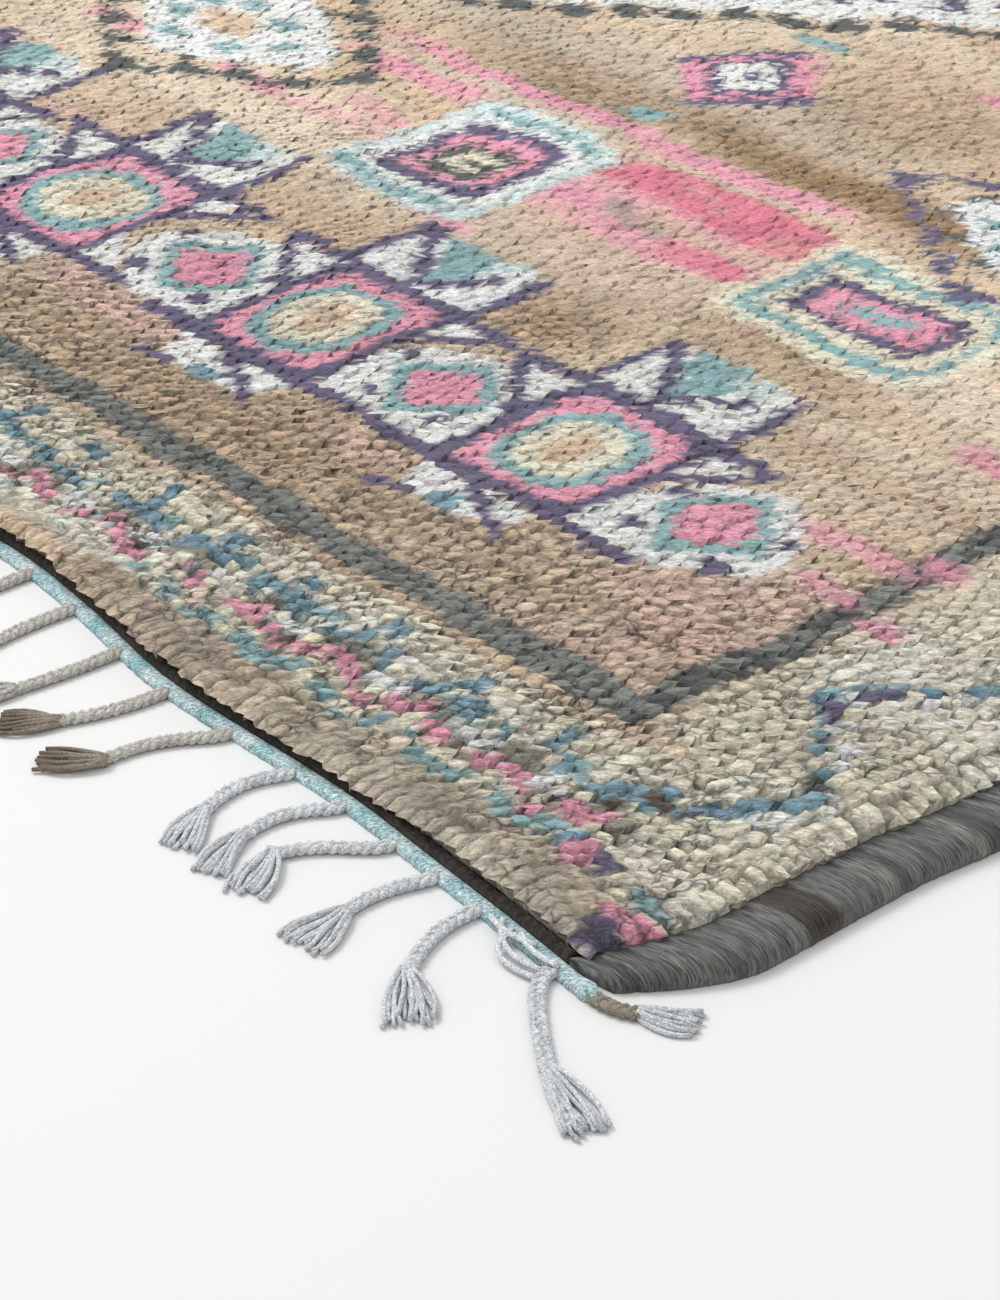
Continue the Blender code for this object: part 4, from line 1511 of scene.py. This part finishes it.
# %% Twine the bands and weave the strips
BAND_PITCH = 0.0021
TWINE_PITCH = 0.0068
STRIP_PITCH = 0.0030
STRIP_RISE = 0.004
STRIP_RISE_OVER = 0.018
STRIP_ROUND = 0.006
STRIP_CLOSING = 0.45
BAND_SECTION = [
    # outward, height
    (0.00, 0.0000), (0.00, 0.0050), (0.20, 0.0074), (0.50, 0.0082),
    (0.80, 0.0072), (1.00, 0.0048), (1.00, 0.0000),
]
TWINE_SLANT = 0.6
TWINE_SWELL = 0.11
STRAY_SWELL = 0.16
STRAYS_PER_METRE = 130.0
STRAY_ROUND = 3.0
# mean and swing
BAND_SHADE = (0.26, 0.20)
BAND_SHADES_PER_METRE = 90.0
STRIP_SECTION = [
    # outward, height
    (0.00, 0.0000), (0.00, 0.0032), (0.12, 0.0041), (0.45, 0.0042),
    (0.80, 0.0041), (0.97, 0.0031), (1.00, 0.0000),
]
RIBS_PER_METRE = 210.0
RIB_SWELL = 0.12
RIB_OUT = 0.0010
RIB_OUT_FROM = 0.9
PALE_MEAN = 0.38
PALE_SWING = 0.9
PALES_PER_METRE = 60.0


def dark_band(name, end, node):
    """The twined band that closes the pile at one end."""
    left, right = (pile_side(selvedge_start(side, end), side) for side in (-1, 1))
    count = round((right - left) / BAND_PITCH)
    rings, colours = [], []
    for i in range(count + 1):
        x = left + (right - left) * i / count
        inner = end_edge(x, end) - end * (STRIP_WIDTH + END_GAP + BAND_WIDTH)
        ring = []
        for outward, height in BAND_SECTION:
            twist = sin(2 * pi * (x / TWINE_PITCH + TWINE_SLANT * outward))
            stray = noise_at(x * STRAYS_PER_METRE, outward * STRAY_ROUND, end)
            taller = 1 + TWINE_SWELL * twist + STRAY_SWELL * stray
            ring.append((x, inner + end * BAND_WIDTH * outward, height * taller))
        rings.append(ring)
        shade = BAND_SHADE[0] + BAND_SHADE[1] * noise_at(x * BAND_SHADES_PER_METRE, 2.0, end)
        colours.append(yarn_light["umber"] * shade)
    return finish_piece(add_object(name, rolled(rings, colours)), "band_wool", node)


def end_strip(name, end, node):
    """The flat woven strip at one end, turned up a little where it is wrapped at its corners."""
    count = round(2 * STRIP_END / STRIP_PITCH)
    rings, colours = [], []
    for i in range(count + 1):
        x = STRIP_END * (2 * i / count - 1)
        run = max(abs(x) - STRIP_END + STRIP_RISE_OVER, 0.0) / STRIP_RISE_OVER
        rib = noise_at(x * RIBS_PER_METRE, end, 3.0)
        closing = 1 - STRIP_CLOSING * max(abs(x) - STRIP_END + STRIP_ROUND, 0.0) / STRIP_ROUND
        ring = []
        for outward, height in STRIP_SECTION:
            inward = STRIP_WIDTH * (0.5 + (0.5 - outward) * closing)
            inward -= RIB_OUT * rib * (outward > RIB_OUT_FROM)
            z = (height * (1 + RIB_SWELL * rib) + STRIP_RISE * run * (height > 0)) * closing
            ring.append((x, end_edge(x, end) - end * inward, z))
        rings.append(ring)
        pale = min(max(PALE_MEAN + PALE_SWING * noise_at(x * PALES_PER_METRE, end, 9.0), 0), 1)
        colours.append(mix(yarn_light["strip_teal"], yarn_light["strip_pale"], pale))
    return finish_piece(add_object(name, rolled(rings, colours)), "strip_weave", node)


bands = [dark_band("band_front", -1, "dark_band_front"), dark_band("band_back", 1, "dark_band_back")]
strips = [end_strip("strip_front", -1, "fringe_front"), end_strip("strip_back", 1, "fringe_back")]
print("band", len(bands[0].data.polygons), "faces and strip", len(strips[0].data.polygons), "faces")

# %% [markdown]
# ## The fringe
# The warps leave the strip in bunches. Each bunch is plaited from three strands and left loose at
# its end as a tassel. The eleven braids of the corner have their own places, and the rest keep an
# even pitch with small seeded shifts, the same as in the solids.

# %% Repeat the braids' places
CORNER_BRAIDS = [
    # root, bend, bend_out, tip, tip_out, tassel, tassel_out, tassel_width
    (0.774, 0.787, 0.0130, 0.797, 0.005, 0.818, -0.009, 0.018),
    (0.741, 0.770, 0.046, 0.800, 0.068, 0.846, 0.083, 0.020),
    (0.678, 0.677, 0.037, 0.697, 0.068, 0.727, 0.090, 0.024),
    (0.642, 0.631, 0.031, 0.637, 0.060, 0.642, 0.090, 0.026),
    (0.605, 0.579, 0.027, 0.572, 0.054, 0.589, 0.083, 0.020),
    (0.560, 0.541, 0.021, 0.549, 0.056, 0.562, 0.084, 0.018),
    (0.517, 0.503, 0.022, 0.518, 0.057, 0.533, 0.083, 0.020),
    (0.464, 0.442, 0.026, 0.441, 0.066, 0.415, 0.088, 0.020),
    (0.407, 0.404, 0.034, 0.391, 0.062, 0.371, 0.082, 0.020),
    (0.355, 0.354, 0.030, 0.349, 0.062, 0.337, 0.088, 0.018),
    (0.298, 0.296, 0.020, 0.301, 0.050, 0.294, 0.078, 0.018),
]
FRINGE_PITCH = 0.0495
FRINGE_FIRST_FRONT = 0.249
PLAIN_FRONT, PLAIN_BACK = 21, 31
FRINGE_SHIFT = 0.004
FRINGE_LEAN = 0.009
FRINGE_FOLLOW = 0.5
BEND_SHARE = (-0.2, 0.8)
FRINGE_REACH = 0.062
FRINGE_REACH_SPREAD = 0.006
TASSEL_REACH = 0.026
TASSEL_WIDTH = 0.018
FRONT_SEED, BACK_SEED = 7, 11


def plain_braids(first, count, seed, end):
    """Rows like those of CORNER_BRAIDS for an even run of braids, leftwards from the first."""
    dice = random.Random(seed)
    rows = []
    lean_now = 0.0
    for i in range(count):
        root = first - FRINGE_PITCH * i + dice.uniform(-FRINGE_SHIFT, FRINGE_SHIFT)
        sway = abs(end_edge(root, end)) - LENGTH / 2
        lean_now = FRINGE_FOLLOW * lean_now + dice.uniform(-FRINGE_LEAN, FRINGE_LEAN)
        reach = FRINGE_REACH + dice.uniform(-FRINGE_REACH_SPREAD, FRINGE_REACH_SPREAD)
        bend = root + lean_now * dice.uniform(*BEND_SHARE)
        tip, tip_out = root + lean_now, sway + reach
        rows.append((root, bend, sway + reach / 2, tip, tip_out, tip, tip_out + TASSEL_REACH, TASSEL_WIDTH))
    return rows


front_rows = CORNER_BRAIDS + plain_braids(FRINGE_FIRST_FRONT, PLAIN_FRONT, FRONT_SEED, -1)
back_rows = plain_braids(FRINGE_PITCH * (PLAIN_BACK - 1) / 2, PLAIN_BACK, BACK_SEED, 1)
print(len(front_rows), "braids at the front and", len(back_rows), "at the back")

# %% [markdown]
# A plait of three is three waves, each a third of a turn behind the last: sideways once in every
# turn, and up and down twice, which passes each strand over one neighbour and under the other.
# The tassel's yarns start together at the neck, spread, and settle on the floor.

# %% Plait a braid and spread its tassel
STRAND_STEP = 0.0022
STRAND_SIDES = 6
PLAIT_TURN = 0.0165
PLAIT_WIDE = 0.0027
PLAIT_HIGH = 0.0011
STRAND_HALF = (0.0021, 0.0018)
ROOT_DEPTH = 0.003
STRAIGHT_START = 0.35
BEND_PULL = 0.25
BEND_SLACK = 1.08
LEAST_STEPS = 6
TASSEL_YARNS = 15
YARN_SIDES = 5
YARN_RINGS = 7
YARN_HALF = 0.00130
YARN_REACH = (0.86, 1.05)
YARN_BOW = 0.0034
TASSEL_FLARE = 1.28
TASSEL_ROOT = 0.004
NECK_HALF = 0.0021
FLARE_RATE = 1.35
FLARE_POWER = 0.75
LOWEST_LAYER = 0.0008
LAYER_RISE = 0.0030
SETTLING = 0.62


def bezier(points, t):
    """A point on the cubic curve of four control points."""
    a, b, c, d = points
    u = 1 - t
    return a * u**3 + b * 3 * u * u * t + c * 3 * u * t * t + d * t**3


def braid_path(row, end):
    """Evenly spaced points from inside the strip to the tassel's neck, and the tassel's far end."""
    root, bend, bend_out, tip, tip_out, tassel, tassel_out, _ = row
    across = min(root, STRIP_END)
    start = Vector((across, end_edge(across, end), 0.0))
    way = Vector((0.0, end, 0.0))
    if root > STRIP_END:
        start.y -= end * STRIP_WIDTH / 2
        way = Vector((1.0, 0.0, 0.0))
    bend_at, tip_at, last = (
        Vector((at, end * (LENGTH / 2 + out), 0.0))
        for at, out in ((bend, bend_out), (tip, tip_out), (tassel, tassel_out))
    )
    pulls = (
        start, start + way * STRAIGHT_START * (bend_at - start).length,
        bend_at + (bend_at - (start + tip_at) / 2) * BEND_PULL, tip_at,
    )
    count = max(round((tip_at - start).length * BEND_SLACK / STRAND_STEP), LEAST_STEPS)
    points = [bezier(pulls, i / count) for i in range(count + 1)]
    return [start - way * ROOT_DEPTH] + points, last


def tube_rings(points, halves, sides):
    """Rings of an upright oval carried along a path. The halves are each ring's width and height."""
    rings = []
    for i, (point, (half_wide, half_high)) in enumerate(zip(points, halves)):
        heading = points[min(i + 1, len(points) - 1)] - points[max(i - 1, 0)]
        across = Vector((-heading.y, heading.x, 0.0)).normalized()
        over = heading.cross(across).normalized() * -1
        turns = [2 * pi * j / sides for j in range(sides)]
        rings.append([point + across * half_wide * cos(t) + over * half_high * sin(t) for t in turns])
    return rings


def strand_paths(path):
    """The three strands of a plait along a path."""
    strands = []
    for strand in range(3):
        points, walked = [], 0.0
        for i, place in enumerate(path):
            before, after = path[max(i - 1, 0)], path[min(i + 1, len(path) - 1)]
            walked += (place - before).length
            heading = (after - before).normalized()
            across = Vector((-heading.y, heading.x, 0.0))
            turn = 2 * pi * (walked / PLAIT_TURN + strand / 3)
            height = STRAND_HALF[1] + PLAIT_HIGH * (1 + sin(2 * turn))
            points.append(place + across * PLAIT_WIDE * sin(turn) + Vector((0.0, 0.0, height)))
        strands.append(points)
    return strands


def tassel_paths(neck, last, width, dice):
    """The loose yarns of a tassel in three layers, from inside its neck to their uneven cut ends."""
    heading = (last - neck).normalized()
    across = Vector((-heading.y, heading.x, 0.0))
    length = (last - neck).length
    yarns = []
    for i in range(TASSEL_YARNS):
        share = (i + 0.5) / TASSEL_YARNS * 2 - 1
        layer = (i * 5 % 3) / 2
        reach = length * dice.uniform(*YARN_REACH)
        bow = dice.uniform(-YARN_BOW, YARN_BOW)
        points = []
        for j in range(YARN_RINGS):
            t = j / (YARN_RINGS - 1)
            forth = -TASSEL_ROOT + (reach + TASSEL_ROOT) * t
            flare = min(FLARE_RATE * t, 1.0) ** FLARE_POWER
            spread = NECK_HALF + (width * TASSEL_FLARE / 2 - NECK_HALF - YARN_HALF) * flare
            aside = share * spread + bow * sin(pi * t)
            height = YARN_HALF + (LOWEST_LAYER + LAYER_RISE * layer) * (1 - SETTLING * t)
            points.append(neck + heading * forth + across * aside + Vector((0.0, 0.0, height)))
        yarns.append(points)
    return yarns


print("a braid turns once in", PLAIT_TURN * 1000, "mm")

# %% [markdown]
# Beside the corner a few warps that were never plaited make loose loops over the strip's edge.

# %% Lay the loose loops
LOOPS = [
    # four places: x, out from the strip's edge, and the height of the middle
    ((0.696, -0.004, 0.0058), (0.706, 0.006, 0.0056), (0.716, 0.012, 0.0030), (0.739, 0.004, 0.0040)),
    ((0.706, -0.003, 0.0060), (0.707, 0.013, 0.0050), (0.716, 0.018, 0.0014), (0.742, 0.008, 0.0030)),
    ((0.712, -0.004, 0.0062), (0.722, 0.001, 0.0070), (0.730, 0.002, 0.0070), (0.744, -0.003, 0.0060)),
    ((0.690, -0.001, 0.0056), (0.700, 0.002, 0.0060), (0.712, 0.001, 0.0060), (0.724, -0.004, 0.0060)),
]
LOOP_HALF = (0.0017, 0.0015)
LOOP_RINGS = 14


def loops():
    """The loose loops as one bmesh for each."""
    for row in LOOPS:
        pulls = [Vector((x, end_edge(x, -1) - out, height)) for x, out, height in row]
        points = [bezier(pulls, i / LOOP_RINGS) for i in range(LOOP_RINGS + 1)]
        rings = tube_rings(points, [LOOP_HALF] * len(points), STRAND_SIDES)
        yield rolled(rings, [yarn_light["cotton"]] * len(rings))


print(len(LOOPS), "loops")

# %% [markdown]
# Most braids are washed cotton, some bluish white and some a speckled grey-beige, and two have
# tassels with brown tips. The one that leaves the strip's end has a grey stem.

# %% Make the whole fringe
COTTON = ("cotton", "cotton", "cotton")
ECRU = ("ecru", "ecru", "ecru")
FRINGE_YARNS = {
    # root: stem, tassel, tip
    0.774: ("olive", "cotton", "cotton"),
    0.464: ("ecru", "fawn", "hazel"),
    0.407: ("ecru", "fawn", "hazel"),
    0.355: ECRU,
    0.298: ECRU,
}
COTTON_SHARE = 0.35
STEM_SHADES = (0.80, 1.0)
TASSEL_SHADES = (0.84, 1.0)
ROOT_FULLNESS = 1.15
YARN_THINNING = 0.25
FRINGE_SEED = 21


def join_in(whole, part):
    """Merge one small bmesh into a larger one."""
    data = bpy.data.meshes.new("part")
    part.to_mesh(data)
    part.free()
    whole.from_mesh(data)
    bpy.data.meshes.remove(data)


def braids_and_tassels(end, rows, dice):
    """Two bmeshes: every braid of one end, and every tassel."""
    braids, tassels = bmesh.new(), bmesh.new()
    for row in rows:
        path, last = braid_path(row, end)
        stem, loose, tip = FRINGE_YARNS.get(row[0]) or (
            COTTON if row in CORNER_BRAIDS or dice.random() < COTTON_SHARE else ECRU
        )
        for points in strand_paths(path):
            rings = tube_rings(points, [STRAND_HALF] * len(points), STRAND_SIDES)
            shades = [yarn_light[stem] * dice.uniform(*STEM_SHADES) for _ in rings]
            join_in(braids, rolled(rings, shades))
        for points in tassel_paths(path[-1], last, row[-1], dice):
            fullness = [ROOT_FULLNESS - YARN_THINNING * j / YARN_RINGS for j in range(YARN_RINGS)]
            halves = [(YARN_HALF * full,) * 2 for full in fullness]
            tone = dice.uniform(*TASSEL_SHADES)
            shades = [
                mix(yarn_light[loose], yarn_light[tip], j / (YARN_RINGS - 1)) * tone
                for j in range(YARN_RINGS)
            ]
            join_in(tassels, rolled(tube_rings(points, halves, YARN_SIDES), shades))
    return braids, tassels


for end, word, rows in ((-1, "front", front_rows), (1, "back", back_rows)):
    braids, tassels = braids_and_tassels(end, rows, random.Random(FRINGE_SEED + end))
    for loop in loops() if end < 0 else ():
        join_in(braids, loop)
    for kind, mesh in (("braids", braids), ("tassels", tassels)):
        piece = add_object(f"{kind}_{word}", mesh)
        finish_piece(piece, "braid_cotton", f"fringe_{word}")
